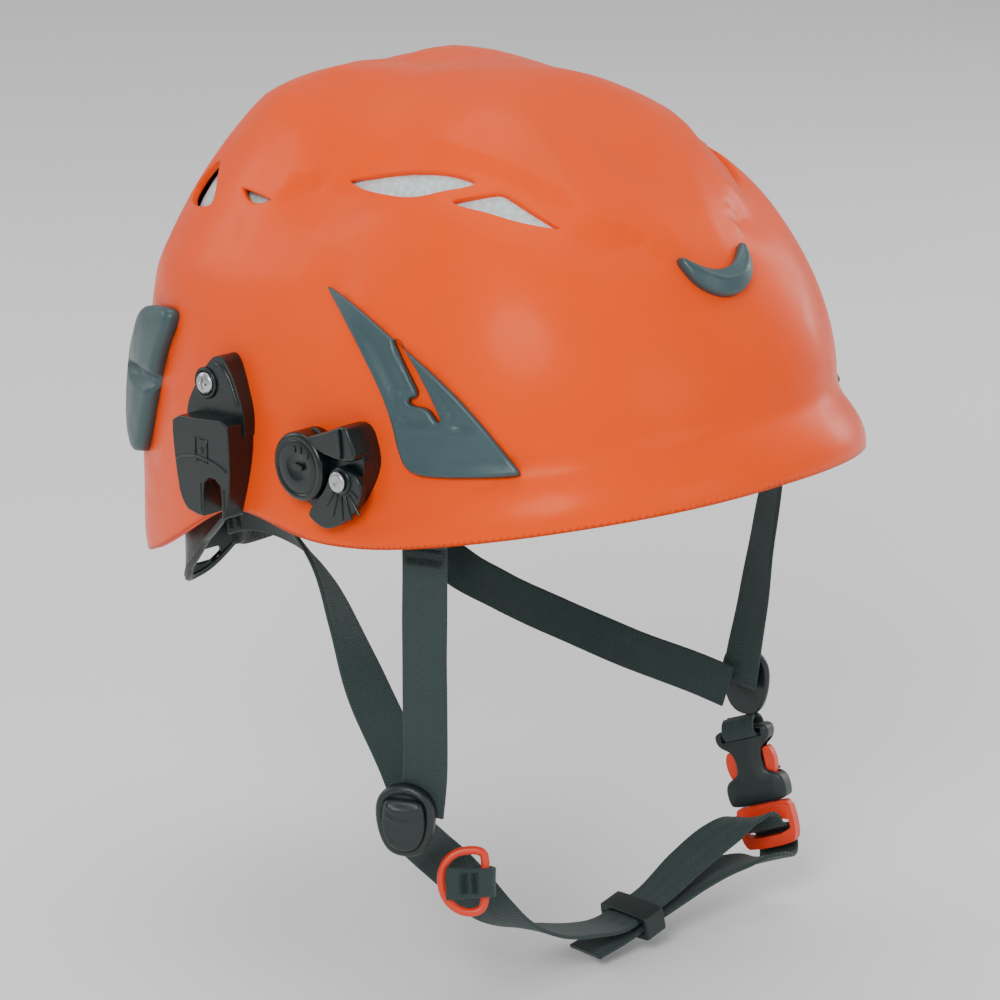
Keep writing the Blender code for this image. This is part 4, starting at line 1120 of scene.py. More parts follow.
# ---------------------------------------------------------------- webbing
WEB_WIDTH, WEB_THICKNESS = 16, 1.6
THREAD_RADIUS, THREAD_LIFT, THREAD_MARGIN, THREAD_STITCHES = 0.26, 0.78, 3.4, 26
STRAPS = {
    "front_strap_right": (
        ((-89.8, -50.0, 19), (0.47, -0.88, 0)), ((-89.8, -50.0, 8), (0.47, -0.88, 0)),
        ((-88.6, -48.6, -20), (0.47, -0.88, 0)), ((-86.8, -46.6, -52), (0.47, -0.88, 0)),
        ((-85.2, -44.6, -79), (0.47, -0.88, 0)), ((-84.8, -42.6, -92), (0.47, -0.88, 0))),
    "front_strap_left": (
        ((89.8, -50.0, 19), (-0.47, -0.88, 0)), ((89.8, -50.0, 8), (-0.47, -0.88, 0)),
        ((88.2, -47.6, -20), (-0.36, -0.93, 0)), ((86.2, -43.8, -52), (-0.16, -0.98, 0)),
        ((83.9, -40.6, -79), (0.02, -1, 0)), ((83.4, -39.8, -88), (0.02, -1, 0))),
    "rear_strap_right": (
        ((-81.5, -36, -92), (0.5, -0.8, 0.2)), ((-81.5, -30, -80), (0.6, -0.7, 0.4)),
        ((-82, -14, -56), (0.9, -0.35, 0.3)), ((-80, 0, -36), (0.97, 0.1, -0.2)),
        ((-77, 16, -19), (0.8, 0.2, -0.6)), ((-74.5, 34, -9), (0.55, 0.2, -0.8)),
        ((-72, 52, -7), (0.3, 0.2, -0.95)), ((-70.2, 66, -9), (0.1, 0.2, -1)),
        ((-67.4, 76, -13), (0, 0.2, -1))),
    "rear_strap_left": (
        ((79, -38, -88.4), (0.1, 0.3, 0.95)), ((76.5, -27, -86), (0.1, 0.3, 0.95)),
        ((71.5, 6, -82), (0.1, 0.3, 0.95)), ((66, 37, -76), (0.1, 0.35, 0.93)),
        ((62, 65, -70.5), (0.15, 0.35, 0.92)), ((59.5, 88, -64), (0.4, 0.4, 0.8)),
        ((57, 96.5, -57), (0.8, 0.3, 0.5)), ((55, 99.6, -48), (0.9, -0.43, 0)),
        ((54.4, 99.6, -36), (0.9, -0.45, 0))),
}
CHIN_STRAP_TO_PLUG = (
    ((-84, -38.8, -101.5), (0.6, -0.5, 0.6)), ((-75, -38.2, -110.2), (0.64, -0.44, 0.62)),
    ((-69, -41, -117), (0.67, -0.42, 0.62)), ((-62.5, -44, -125.5), (0.65, -0.5, 0.58)),
    ((-54, -46, -135.5), (0.5, -0.75, 0.45)), ((-42, -46, -145), (0.25, -0.95, 0.2)),
    ((-26, -46, -152.6), (0, -1, 0)), ((-8, -46, -158), (0, -1, 0)),
    ((8, -46, -160.2), (0, -1, 0)), ((19, -46, -158.1), (0, -1, 0)),
    ((29, -46.8, -155.2), (0, -1, 0)), ((46, -48.5, -146.4), (0.1, -1, -0.1)),
    ((62, -50.3, -139.5), (0.2, -0.96, -0.1)), ((74, -51.8, -136.6), (0.25, -0.92, 0.2)))
PLUG_WRAP = ((29.6, -6.2), (32.2, -4.8), (35.9, 4.3), (38.5, 4.8), (42, 4.2), (45, 1.2), (45.4, -2.2),
             (44, -7))
CHIN_STRAP_BACK = (
    ((68, -53.2, -151.2), (0.1, -1, 0.1)), ((49, -50, -154), (0, -1, 0)),
    ((34, -48, -158.2), (0, -1, 0)), ((19, -46.6, -162.3), (0, -1, 0)),
    ((8, -46.3, -164.8), (0, -1, 0)), ((-6, -46, -167), (0, -1, 0)))
SOCKET_LOOP = ((-8.8, -1.8), (-7.6, -4.4), (-5, -5.9), (-3.4, -5.9), (-2.6, -5.2), (-2.6, 5.2),
               (-3.4, 5.9), (-5, 5.9), (-7.6, 4.4), (-8.8, 1.8))


def smooth_rows(rows, spacing=1.3):
    """Close rows along a curve through the given rows, which doesn't swing past them."""
    points = np.array([list(p) + list(Vector(d).normalized()) for p, d in rows], float)
    lengths = np.linalg.norm(np.diff(points[:, :3], axis=0), axis=1)
    slopes = np.diff(points, axis=0) / lengths[:, None]
    tangents = np.concatenate((slopes[:1], slopes[1:] * 0, slopes[-1:]))
    share = (lengths[:-1] / (lengths[:-1] + lengths[1:]))[:, None]
    tangents[1:-1] = slopes[:-1] * (1 - share) + slopes[1:] * share
    made = []
    for i, length in enumerate(lengths):
        count = max(int(round(length / spacing)), 2)
        t = (np.arange(count + (i == len(lengths) - 1)) / count)[:, None]
        ends = (2 * t ** 3 - 3 * t ** 2 + 1) * points[i] + (3 * t ** 2 - 2 * t ** 3) * points[i + 1]
        turns = (t ** 3 - 2 * t ** 2 + t) * tangents[i] + (t ** 3 - t ** 2) * tangents[i + 1]
        made.append(ends + length * turns)
    made = np.concatenate(made)
    return made[:, :3], made[:, 3:]


def section(width, thickness, columns=9):
    """A webbing's cross-section, as pairs of across and depth."""
    half, thick = width / 2, thickness / 2
    flat = np.linspace(-half + thick, half - thick, columns)
    swell = thick * (0.8 + 0.2 * np.abs(flat / half) ** 4)
    turns = np.radians((65, 35, 0, -35, -65))
    right = np.stack((half - thick + thick * np.cos(turns), thick * np.sin(turns)), axis=1)
    top = np.stack((flat, swell), axis=1)
    return np.concatenate((top, right, (top * (1, -1))[::-1], (right * (-1, -1))))


def webbing(name, rows, width=WEB_WIDTH, waves=0.25, pinch=None, thickness=WEB_THICKNESS):
    """A woven strap with rounded edges, through rows of centre point and direction across.

    pinch gives the width's share at a place from 0 to 1 along the strap.
    """
    centres, across = smooth_rows(rows)
    run = np.gradient(centres, axis=0)
    run /= np.linalg.norm(run, axis=1, keepdims=True)
    across -= run * (across * run).sum(1, keepdims=True)
    across /= np.linalg.norm(across, axis=1, keepdims=True)
    normal = np.cross(across, run)
    length = np.concatenate(([0], np.cumsum(np.linalg.norm(np.diff(centres, axis=0), axis=1))))
    loop = section(width, thickness)
    place = length / length[-1]
    fade = np.sin(np.pi * place) ** 0.5
    shares = np.ones(len(place)) if pinch is None else pinch(place)
    bm = bmesh.new()
    uv = bm.loops.layers.uv.new("weave")
    rings = []
    for i, centre in enumerate(centres):
        a = loop[:, 0] * shares[i]
        curl = waves * fade[i] * (np.sin(length[i] / 11) + np.sin(length[i] / 5.3 + 1) * (a / width))
        at = centre + a[:, None] * across[i] + (loop[:, 1] + curl)[:, None] * normal[i]
        rings.append([bm.verts.new(p) for p in at])
    around = len(loop)
    for i in range(len(rings) - 1):
        for j in range(around):
            k = (j + 1) % around
            face = bm.faces.new((rings[i][j], rings[i][k], rings[i + 1][k], rings[i + 1][j]))
            for corner, (m, n) in zip(face.loops, ((i, j), (i, k), (i + 1, k), (i + 1, j))):
                corner[uv].uv = (loop[n, 0] + width / 2, length[m])
    for ring in (rings[0], rings[-1]):
        bm.faces.new(ring)
    strap = bulk_object(name, bm, Matrix())
    return strap, (centres, across, normal, length)


def stitched(strap, frames, width, places, depth=3.6, outward=1):
    """Sew a zigzag bar across the strap at each place from 0 to 1."""
    centres, across, normal, length = frames
    threads = []
    for place in places:
        points = []
        for i in range(THREAD_STITCHES + 1):
            t = i / THREAD_STITCHES
            s = place * length[-1] + depth * (0.5 if i % 2 else -0.5)
            k = min(int(np.searchsorted(length, s)), len(length) - 1)
            at = centres[k] + across[k] * (t - 0.5) * (width - THREAD_MARGIN)
            at = at + normal[k] * outward * THREAD_LIFT
            points.append(tuple(at))
        threads.append(bead("thread", points, THREAD_RADIUS))
    return joined(strap.name, [strap, *threads])


def sum_of(tree, operation, first, second=0.0):
    node = add_node(tree, "ShaderNodeMath", operation=operation)
    for socket, value in zip(node.inputs, (first, second)):
        if isinstance(value, (int, float)):
            socket.default_value = value
        else:
            tree.links.new(value, socket)
    return node.outputs[0]


def woven(name, colour):
    """A herringbone weave: the map's first coordinate runs across the strap, in millimetres."""
    material, tree, shader = new_material(name, colour, 0.72, Specular_IOR_Level=0.35)
    shader.inputs["Sheen Weight"].default_value = 0.12
    shader.inputs["Sheen Roughness"].default_value = 0.5
    place = add_node(tree, "ShaderNodeUVMap", uv_map="weave")
    parts = add_node(tree, "ShaderNodeSeparateXYZ")
    tree.links.new(place.outputs["UV"], parts.inputs["Vector"])
    chevron = sum_of(tree, "PINGPONG", parts.outputs["X"], 2.67)
    phase = sum_of(tree, "ADD", sum_of(tree, "MULTIPLY", parts.outputs["Y"], 6.4),
                   sum_of(tree, "MULTIPLY", chevron, 2.4))
    ribs = sum_of(tree, "SINE", phase)
    threads = sum_of(tree, "SINE", sum_of(tree, "MULTIPLY", parts.outputs["X"], 11.0))
    height = sum_of(tree, "ADD", ribs, sum_of(tree, "MULTIPLY", threads, 0.45))
    wear = sum_of(tree, "MULTIPLY", noise(tree, 55, 5, 0.6), 1.6)
    # The colour is lighter on the weave's raised ribs and darker in its grooves: painted shade, plus random
    # tone from the wear noise.
    tone = ramp(tree, sum_of(tree, "ADD", height, wear), -0.9, 2.2,
                tuple(c * 0.75 for c in colour), tuple(c * 1.25 for c in colour))
    tree.links.new(tone, shader.inputs["Base Color"])
    bump(tree, shader, height, 0.6, 0.00014)
    bump(tree, shader, noise(tree, 1900, 2), 0.25, 0.0002)
    return material


MATERIALS["webbing"] = woven("webbing_weave", (0.020, 0.039, 0.037))


def build_straps():
    """The four straps from the shell and the cradle down to the dividers."""
    for name, rows in STRAPS.items():
        word = name.rsplit("_", 1)[1]
        front = name.startswith("front")
        strap, frames = webbing(name.replace("strap", "web"), rows, waves=0.3)
        outward = 1 if (frames[2][len(frames[2]) // 2][0] > 0) == (word == "left") else -1
        strap = stitched(strap, frames, WEB_WIDTH, (0.1, 0.15) if front else (0.93, 0.97), 3, outward)
        settle(strap, "webbing", "root" if front else None, name)
        if not front:
            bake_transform(strap)


# ---------------------------------------------------------------- dividers and ring
RIGHT_DIVIDER = ((-91, -40.8, -93.4), (0.468, -0.883, 0), (-0.113, 0.214, 0.970))
LEFT_DIVIDER = ((88, -39.6, -87.4), (0, -1, 0), (0, 0, 1))
DIVIDER_OUTLINE = ((-11, 3), (-9.5, 9), (-5, 12.5), (0, 13.5), (5, 12.5), (9.5, 9), (11, 3),
                   (9.5, -6), (6, -12), (0, -13.4), (-6, -12), (-9.5, -6))
FLAP_OUTLINE = ((-7.5, 6), (-6, 8.5), (6, 8.5), (7.5, 6), (8, -2), (6, -8), (2.5, -10.5),
                (-2.5, -10.5), (-6, -8), (-8, -2))
DIVIDER_THICKNESS = 3


def outward_frame(centre, across, up):
    """A frame whose Z points away from the middle of the helmet."""
    matrix = frame_at(centre, across, up)
    if matrix.col[2].x * centre[0] < 0:
        matrix = frame_at(centre, tuple(-c for c in across), up)
    return matrix


def soft_plate(name, outline, matrix, height_of, low=None, spacing=0.8):
    """A moulded plate whose top height is a formula of its place and its distance from the edge.

    Its underside is flat at low, or without it mirrors the top.
    """
    edge = resampled(rounded(outline, 2), 0.9)
    rows = np.concatenate([row for row in inset_loops(edge, (0.25, 0.6, 1.1)) if len(row)])
    low_corner, high_corner = edge.min(0), edge.max(0)
    grid = np.stack(np.meshgrid(*(np.arange(a, b, spacing) for a, b in zip(low_corner, high_corner))),
                    axis=-1).reshape(-1, 2)
    grid = grid[inside(grid, edge)]
    grid = grid[clear_of(grid, np.concatenate((edge, rows)), spacing * 0.6)]
    flat, faces, rings = triangles_through(np.concatenate((grid, rows)), [edge])
    middles = flat[np.array(faces)].mean(axis=1)
    depth = nearest_on(middles, edge)[0] * inside(middles, edge)
    faces = enclosed(faces, rings, int(np.argmax(depth)))
    gap = nearest_on(flat, edge)[0]
    tops = height_of(flat, gap)
    upper = np.column_stack((flat, tops))
    lower = np.column_stack((flat, -tops if low is None else np.full(len(flat), float(low))))
    bm = bmesh.new()
    made = [bm.verts.new(p) for p in np.concatenate((upper, lower))]
    count = len(flat)
    for a, b, c in faces:
        bm.faces.new((made[a], made[b], made[c]))
        bm.faces.new((made[c + count], made[b + count], made[a + count]))
    for ring in rings:
        for i in range(len(ring)):
            a, b = ring[i], ring[(i + 1) % len(ring)]
            bm.faces.new((made[a], made[b], made[b + count], made[a + count]))
    bmesh.ops.delete(bm, geom=[v for v in bm.verts if not v.link_faces], context="VERTS")
    return bulk_object(name, bm, matrix)


def edge_height(gap, full, edge):
    """A rounded edge: nothing at the outline and the full height an edge's width inside it."""
    return full - edge + np.sqrt(np.maximum(edge ** 2 - np.maximum(edge - gap, 0) ** 2, 0))


def divider_top(flat, gap):
    """A raised collar round the flap, with low ribs inside it."""
    collar = np.exp(-((gap - 1.6) / 1.1) ** 2) * 0.9
    ribs = 0.25 * np.cos(flat[:, 1] * 2.3) * smoothstep(2.5, 4, gap)
    return edge_height(gap, DIVIDER_THICKNESS - 2, 0.9) + collar + ribs * 0.6


def flap_top(flat, gap):
    """Crowned, with two bowed ridges across it and a lower part that is set back."""
    y = flat[:, 1]
    dome = edge_height(gap, 2.2, 1.8) + 0.9 * smoothstep(1.2, 6, gap)
    bend = y - 0.05 * flat[:, 0] ** 2
    ridges = 0.5 * (np.exp(-((bend - 4.6) / 0.75) ** 2) + np.exp(-((bend - 0.8) / 0.75) ** 2))
    step = -0.55 * smoothstep(0.4, -0.5, bend) * smoothstep(-7.5, -6, y)
    return dome + ridges * smoothstep(0.5, 2, gap) + step * smoothstep(0.5, 2.5, gap)


def build_dividers():
    for word, spot in (("right", RIGHT_DIVIDER), ("left", LEFT_DIVIDER)):
        matrix = outward_frame(*spot)
        low = DIVIDER_THICKNESS - 2 + 0.4
        body = soft_plate(f"divider_body_{word}", DIVIDER_OUTLINE, matrix, divider_top, -2.0)
        settle(body, "dark_plastic", "root", f"divider_{word}")
        flap = soft_plate(f"divider_cover_{word}", FLAP_OUTLINE, matrix,
                          lambda flat, gap: np.maximum(flap_top(flat, gap) + low, low + 0.35), low + 0.25)
        settle(flap, "dark_plastic", f"flap_{word}", f"divider_flap_{word}")


RING_PLACE = ((-72.8, -51.7, -117.3), (0.704, -0.710, 0), (0.2076, 0.2058, 0.956))
RING_OUTLINE = ((7, 7), (7, 0), (7, -8), (5, -11.2), (-0.5, -11.6), (-6, -8.2), (-8.6, -2), (-8, 4.6),
                (-4, 9.3), (2.5, 10.4), (6.2, 9.6))


def build_ring():
    matrix = frame_at(*RING_PLACE)
    outline = rounded(RING_OUTLINE, 3)
    wire = bead("ring_wire", [(a, b, 0) for a, b in outline], 1.5, matrix, True)
    settle(wire, "orange_part", "ring", "d_ring")
    up = matrix.col[1].xyz
    sign = -1 if matrix.col[2].y > 0 else 1
    shape = ((-13.5, -1.2, 2.2), (-10, -1.2, 2.6), (-6, -1.1, 2.8), (-2.6, -0.9, 2.9), (0.2, -0.8, 3.0),
             (2.4, -0.8, 1.9), (3.0, -0.8, 0), (2.4, -0.8, -1.9), (0.2, -0.8, -3.0), (-3.4, -1, -3.3))
    rows = [(tuple(matrix @ Vector((7 + a, b, sign * d))), tuple(up)) for a, b, d in shape]
    loop, frames = webbing("ring_web", rows, 11.5, 0, lambda t: 1 - 0.12 * np.sin(np.pi * t))
    loop = stitched(loop, frames, 11, (0.22, 0.36), 2.4, 1 if frames[2][4][1] < 0 else -1)
    settle(loop, "webbing", "root", "ring_loop")


# ---------------------------------------------------------------- strap adjuster
ADJUSTER_PLACE, ADJUSTER_UP = (19, -46.3, -160.2), (-0.23, 0, 0.97)


def build_adjuster():
    matrix = frame_at(ADJUSTER_PLACE, (0, -1, 0), ADJUSTER_UP)
    outline = ((-11.6, -4), (-10.6, -5.3), (10.6, -5.3), (11.6, -4), (11.6, 3.8), (10.6, 5.1), (-10.6, 5.1),
               (-11.6, 3.8))
    opening = extruded("opening", rectangle(-9.4, -3.7, 9.4, 3.6), -8, 8, matrix, 0, 0, 1)
    body = carve(extruded("adjuster_body", outline, -5, 5, matrix, 0, 0, 1), opening)
    body.name = "adjuster_body"
    round_edges(body, 0.7, 3, 40)
    settle(body, "dark_plastic", "root", "strap_adjuster")


# ---------------------------------------------------------------- buckle
BUCKLE_PLACE = (87, -40.7, -111.2)
BUCKLE_RUN = Vector((0, -0.363, -0.932)).normalized()
BUCKLE_HINT = Vector((0.35, -0.93, 0))
SOCKET_OUTLINE = ((-10.5, -5.4), (0, -5.9), (10.5, -5.4), (11.2, -2), (9.8, 1), (6.4, 3), (5.4, 6),
                  (5.4, 10), (6.4, 12.4), (10.6, 14), (12, 17), (11.8, 22), (10.8, 24), (0, 24.4),
                  (-10.8, 24), (-11.8, 22), (-12, 17), (-10.6, 14), (-6.4, 12.4), (-5.4, 10),
                  (-5.4, 6), (-6.4, 3), (-9.8, 1), (-11.2, -2))
PLUG_HALF = ((0, 3.5), (2.6, 3.6), (3, 5), (3, 24.6), (9.6, 24.6), (11, 26), (11.2, 33), (10.6, 39),
             (8.4, 41), (0, 41.4))
PRONG = ((5.6, 4.6), (6.6, 3.4), (8.4, 3.2), (9.6, 5.6), (9.9, 8.5), (9.5, 11.6), (8.6, 14.2),
         (8.4, 24.2), (5.6, 24.2))


def buckle_matrix():
    """X across the buckle, Y along it towards the chin and Z out of its face."""
    across = (BUCKLE_HINT - BUCKLE_RUN * BUCKLE_HINT.dot(BUCKLE_RUN)).normalized()
    matrix = Matrix((across, BUCKLE_RUN, across.cross(BUCKLE_RUN))).transposed().to_4x4()
    matrix.translation = Vector(BUCKLE_PLACE)
    return matrix


def crowned_block(name, outline, half, matrix, crown=0.7, edge=1.2):
    """A plate with a softly crowned face on both sides."""
    def top(_flat, gap):
        return edge_height(gap, half - crown, edge) + crown * smoothstep(0, 5, gap)
    return soft_plate(name, outline, matrix, top)


def build_buckle():
    matrix = buckle_matrix()
    socket = crowned_block("socket_body", SOCKET_OUTLINE, 4.7, matrix)
    channel = extruded("channel", rectangle(-10, 0.5, 10, 30), -2.6, 2.6, matrix, 0, 0, 0)
    slot = extruded("slot", rectangle(-8, -3.9, 8, -1.3), -9, 9, matrix, 0, 0, 0)
    socket = carve(socket, channel, slot)
    rib = bead("rib", [(x, 13.6 - 0.012 * x * x, 4.55) for x in np.linspace(-8.5, 8.5, 12)], 0.6, matrix)
    lower = bead("lower", [(x, 22.6, 4.1) for x in np.linspace(-9.5, 9.5, 8)], 0.55, matrix)
    upper = [bead("upper", [(s * 3.3, y, 4.4) for y in np.linspace(3.6, 11.4, 6)], 0.5, matrix)
             for s in (-1, 1)]
    socket = joined("socket_body", [socket, rib, lower, *upper])
    settle(sharp_shaded(socket), "dark_plastic", "root", "buckle_socket")

    outline = list(PLUG_HALF) + [(-a, b) for a, b in reversed(PLUG_HALF[1:-1])]
    tongue = extruded("plug", outline, -2, 2, matrix, 0, 0, 1)
    tail = extruded("tail", ((-11.2, 25), (11.2, 25), (11.4, 33), (10.6, 39), (8.4, 41.2), (-8.4, 41.2),
                             (-10.6, 39), (-11.4, 33)), -2.6, 2.6, matrix, 0, 0, 1)
    opening = extruded("opening", rectangle(-9.2, 30.6, 9.2, 37), -9, 9, matrix, 0, 0, 1)
    plug = carve(carve(tongue, tail, operation="UNION"), opening)
    plug.name = "plug_body"
    round_edges(plug, 0.8, 3, 40)
    settle(plug, "orange_part", "plug", "buckle_plug")
    for word, sign in (("front", 1), ("rear", -1)):
        prong = extruded(f"prong_{word}_arm", [(sign * a, b) for a, b in PRONG], -2.1, 2.1, matrix, 0.7, 3, 2)
        settle(prong, "orange_part", f"prong_{word}", f"buckle_prong_{word}")

    across = tuple(matrix.col[0].xyz)
    rows = [(tuple(matrix @ Vector((0, u, d))), across) for u, d in SOCKET_LOOP]
    loop, _ = webbing("socket_web", rows, 13, 0.05)
    settle(loop, "webbing", "root", "socket_loop")
    wrap = tuple((tuple(matrix @ Vector((0, u, d))), across) for u, d in PLUG_WRAP)
    strap, _ = webbing("chin_web", CHIN_STRAP_TO_PLUG + wrap + CHIN_STRAP_BACK, waves=0.2)
    settle(strap, "webbing", None, "chin_strap")
    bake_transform(strap)


# ---------------------------------------------------------------- liner
LINER_OUTER, LINER_INNER, LINER_RIM_LIFT = 4.6, 17.2, 14
LINER_VENT = ((92, 130), (77, 135), (63, 136), (60, 132), (77, 129.5), (90, 126))


def rim_elevation_lifted(azimuth, lift):
    low = rim_elevation(azimuth)
    radius = dome_radius(azimuth, low)
    return low + np.degrees(lift / radius)


def build_liner():
    """Bead foam with rounded edges, moulded channels inside and two vents through it."""
    around, levels = 150, 46
    azimuth = np.linspace(0, 360, around, endpoint=False)[None, :]
    low = rim_elevation_lifted(azimuth, LINER_RIM_LIFT)
    share = (np.linspace(0, 1, levels) ** 1.05)[:, None] * 0.985
    elevation = low + (90 - low) * share
    turn = np.broadcast_to(azimuth, elevation.shape)
    normal = normals_of(dome_surface, turn, elevation)
    surface = dome_surface(turn, elevation)
    edge = 4.0 * (1 - np.sqrt(np.clip(1 - (1 - np.clip(share / 0.05, 0, 1)) ** 2, 0, 1)))
    channel = np.exp(-((np.mod(turn + 18, 36) - 18) / 5.5) ** 2) * smoothstep(0.12, 0.3, share) \
        * (1 - smoothstep(0.75, 0.9, share))
    outer = surface - normal * (LINER_OUTER + edge)[..., None]
    inner = surface - normal * (LINER_INNER - edge - 3.2 * channel)[..., None]
    points = np.concatenate((outer.reshape(-1, 3), inner.reshape(-1, 3)))
    top = surface[-1].mean(axis=0)
    points = np.concatenate((points, [top - (0, 0, LINER_OUTER)], [top - (0, 0, LINER_INNER)]))
    count = around * levels
    faces = []
    for i in range(levels - 1):
        for j in range(around):
            k = (j + 1) % around
            quad = (i * around + j, i * around + k, (i + 1) * around + k, (i + 1) * around + j)
            faces.append(quad)
            faces.append(tuple(v + count for v in reversed(quad)))
    for j in range(around):
        k = (j + 1) % around
        faces.append((k, j, j + count, k + count))
        last = (levels - 1) * around
        faces.append((last + j, last + k, 2 * count))
        faces.append((last + k + count, last + j + count, 2 * count + 1))
    liner = outward(mesh_object("liner", points, faces))
    tools = []
    for side in (-1, 1):
        flat = np.array(rounded(LINER_VENT, 2), float)
        wall = dome_surface(flat[:, 0], elevation_at(flat[:, 0], flat[:, 1])) * (-side, 1, 1)
        middle = wall.mean(axis=0)
        direction = middle - DOME_CENTRE
        direction /= np.linalg.norm(direction)
        bm = bmesh.new()
        rings = [[bm.verts.new(p + direction * depth) for p in wall] for depth in (-34, 12)]
        for ring in rings:
            bm.faces.new(ring)
        for i in range(len(wall)):
            j = (i + 1) % len(wall)
            bm.faces.new((rings[0][i], rings[0][j], rings[1][j], rings[1][i]))
        tools.append(bulk_object("vent", bm, Matrix()))
    liner = carve(liner, *tools)
    liner.name = "liner"
    settle(liner, "foam", "root", "foam_liner")


def foam_material():
    material, tree, shader = new_material("liner_foam", (0.62, 0.72, 0.72), 0.8)
    place = add_node(tree, "ShaderNodeTexCoord")
    cells = add_node(tree, "ShaderNodeTexVoronoi", Scale=420)
    tree.links.new(place.outputs["Object"], cells.inputs["Vector"])
    # The foam is darker towards the edges of its beads, where the bump sinks between them: painted shade.
    tone = ramp(tree, cells.outputs["Distance"], 0.1, 0.75, (0.66, 0.77, 0.77), (0.50, 0.59, 0.60))
    tree.links.new(tone, shader.inputs["Base Color"])
    bump(tree, shader, sum_of(tree, "MULTIPLY", cells.outputs["Distance"], -1.0), 0.5, 0.0005)
    return material


def knit_material():
    """Brushed knit over foam: fine loops with painted shade between them, and a soft mottle."""
    material, tree, shader = new_material("pad_knit", (0.02, 0.024, 0.026), 0.95)
    shader.inputs["Sheen Weight"].default_value = 0.3
    place = add_node(tree, "ShaderNodeTexCoord")
    loops = add_node(tree, "ShaderNodeTexVoronoi", Scale=900)
    tree.links.new(place.outputs["Object"], loops.inputs["Vector"])
    # The knit is darker between its loops, where the bump sinks: painted shade.
    tone = ramp(tree, loops.outputs["Distance"], 0.1, 0.8, (0.03, 0.036, 0.038), (0.010, 0.012, 0.013))
    tree.links.new(tone, shader.inputs["Base Color"])
    bump(tree, shader, sum_of(tree, "MULTIPLY", loops.outputs["Distance"], -1.0), 0.6, 0.0004)
    bump(tree, shader, noise(tree, 60, 4), 0.3, 0.001)
    return material


MATERIALS["foam"] = foam_material()
MATERIALS["pad"] = knit_material()


# ---------------------------------------------------------------- headband, cradle and size wheel
HEADBAND_FRONT, HEADBAND_SIDE, HEADBAND_REAR = 97, 74, 112
HEADBAND_HALF_TURN, HEADBAND_HEIGHT, HEADBAND_THICKNESS = 122, 22, 2
CRADLE_PIVOT, PIVOT_HOLE_RADIUS = (42, 11), 2.4
CRADLE_ROWS = ((0, 112, -41, -13), (22, 112, -41, -13), (38, 111.4, -42, -15), (47, 111, -47, -22),
               (56, 110, -49.5, -24), (63, 103, -42, -24), (69, 87, -26, -18), (75, 66, -9, 2),
               (77.3, 49, 3, 16), (77.8, 36, 6, 16))
CRADLE_THICKNESS = 2.5
WHEEL_HEIGHT, WHEEL_RADIUS, SHAFT_RADIUS = -27, 13, 2.5


def band_point(azimuth, height):
    a = math.radians(azimuth)
    c, s = math.cos(a), math.sin(a)
    length = HEADBAND_FRONT if c >= 0 else HEADBAND_REAR
    reach = ((abs(c) / length) ** 2.2 + (abs(s) / HEADBAND_SIDE) ** 2.2) ** (-1 / 2.2)
    return Vector((-s * reach, -c * reach, height))


def band_middle(azimuth):
    return 4 + 18 * math.cos(math.radians(azimuth / 2)) ** 2 + HEADBAND_HEIGHT / 2


def side_hole(radius, y, z, side):
    return spun("hole", ((radius, 60), (radius, 95)), side_frame(side, (y, z), 0), 24)


def build_headband():
    half = HEADBAND_HALF_TURN
    turns = np.linspace(-half, half, 49)
    rows = [(tuple(band_point(a, band_middle(a))), (0, 0, 1)) for a in turns]
    band, frames = webbing("headband_strip", rows, HEADBAND_HEIGHT, 0, None, HEADBAND_THICKNESS)
    ribs = []
    for level in (-8.4, 8.4):
        for side in (-1, 1):
            line = [tuple(c + a * level + n * side * 0.85) for c, a, n in list(zip(*frames[:3]))[6:-6:2]]
            ribs.append(bead("rib", line, 0.5))
    band = carve(band, *[side_hole(PIVOT_HOLE_RADIUS, *CRADLE_PIVOT, side) for side in (-1, 1)])
    band = joined("headband_strip", [band, *ribs])
    settle(band, "band", "root", "headband")


def cradle_side_rows():
    rows = [(-x, *rest) for x, *rest in reversed(CRADLE_ROWS[1:])] + list(CRADLE_ROWS)
    return np.array(rows, float)


CRADLE_WIDTH = 28


def build_cradle():
    """The nape cradle: a strip whose width follows its rows, ribbed along both edges."""
    table = cradle_side_rows()
    rows = [((x, y, (low + high) / 2), (0, 0, 1)) for x, y, low, high in table]
    steps = np.linalg.norm(np.diff([r[0] for r in rows], axis=0), axis=1)
    at = np.concatenate(([0], np.cumsum(steps))) / steps.sum()
    share = (table[:, 3] - table[:, 2]) / CRADLE_WIDTH

    def width_share(place):
        fine = np.linspace(0, 1, 400)
        raw = np.interp(fine, at, share)
        kernel = np.hanning(11) / np.hanning(11).sum()
        return np.interp(place, fine, np.convolve(np.pad(raw, 5, "edge"), kernel, "valid"))
    body, frames = webbing("cradle_strip", rows, CRADLE_WIDTH, 0, width_share, CRADLE_THICKNESS)
    centres, across, normal, length = frames
    shares = width_share(length / length[-1])
    ribs = []
    for edge in (-0.41, 0.41):
        for out in (1.0, -1.0):
            line = [tuple(c + a * edge * CRADLE_WIDTH * s + n * out)
                    for c, a, n, s in zip(centres, across, normal, shares)][3:-3:2]
            ribs.append(bead("rib", line, 0.6))
    tools = [side_hole(PIVOT_HOLE_RADIUS, *CRADLE_PIVOT, side) for side in (-1, 1)]
    wheel_place = frame_at((0, 0, WHEEL_HEIGHT), (-1, 0, 0), (0, 0, 1))
    tools.append(spun("shaft", ((2.9, 100), (2.9, 120)), wheel_place, 24))
    for x in (-47, 47):
        slot = ((-7, -1.5), (-6, -2.1), (6, -2.1), (7, -1.5), (7, 1.5), (6, 2.1), (-6, 2.1), (-7, 1.5))
        place = frame_at((x, 104, -39), (-1, 0, 0), (0, 0.35, 1))
        tools.append(extruded("slot", slot, -10, 20, place, 0, 0, 1))
    body = joined("cradle_strip", [carve(body, *tools), *ribs])
    settle(body, "dark_plastic", "cradle", "nape_cradle")


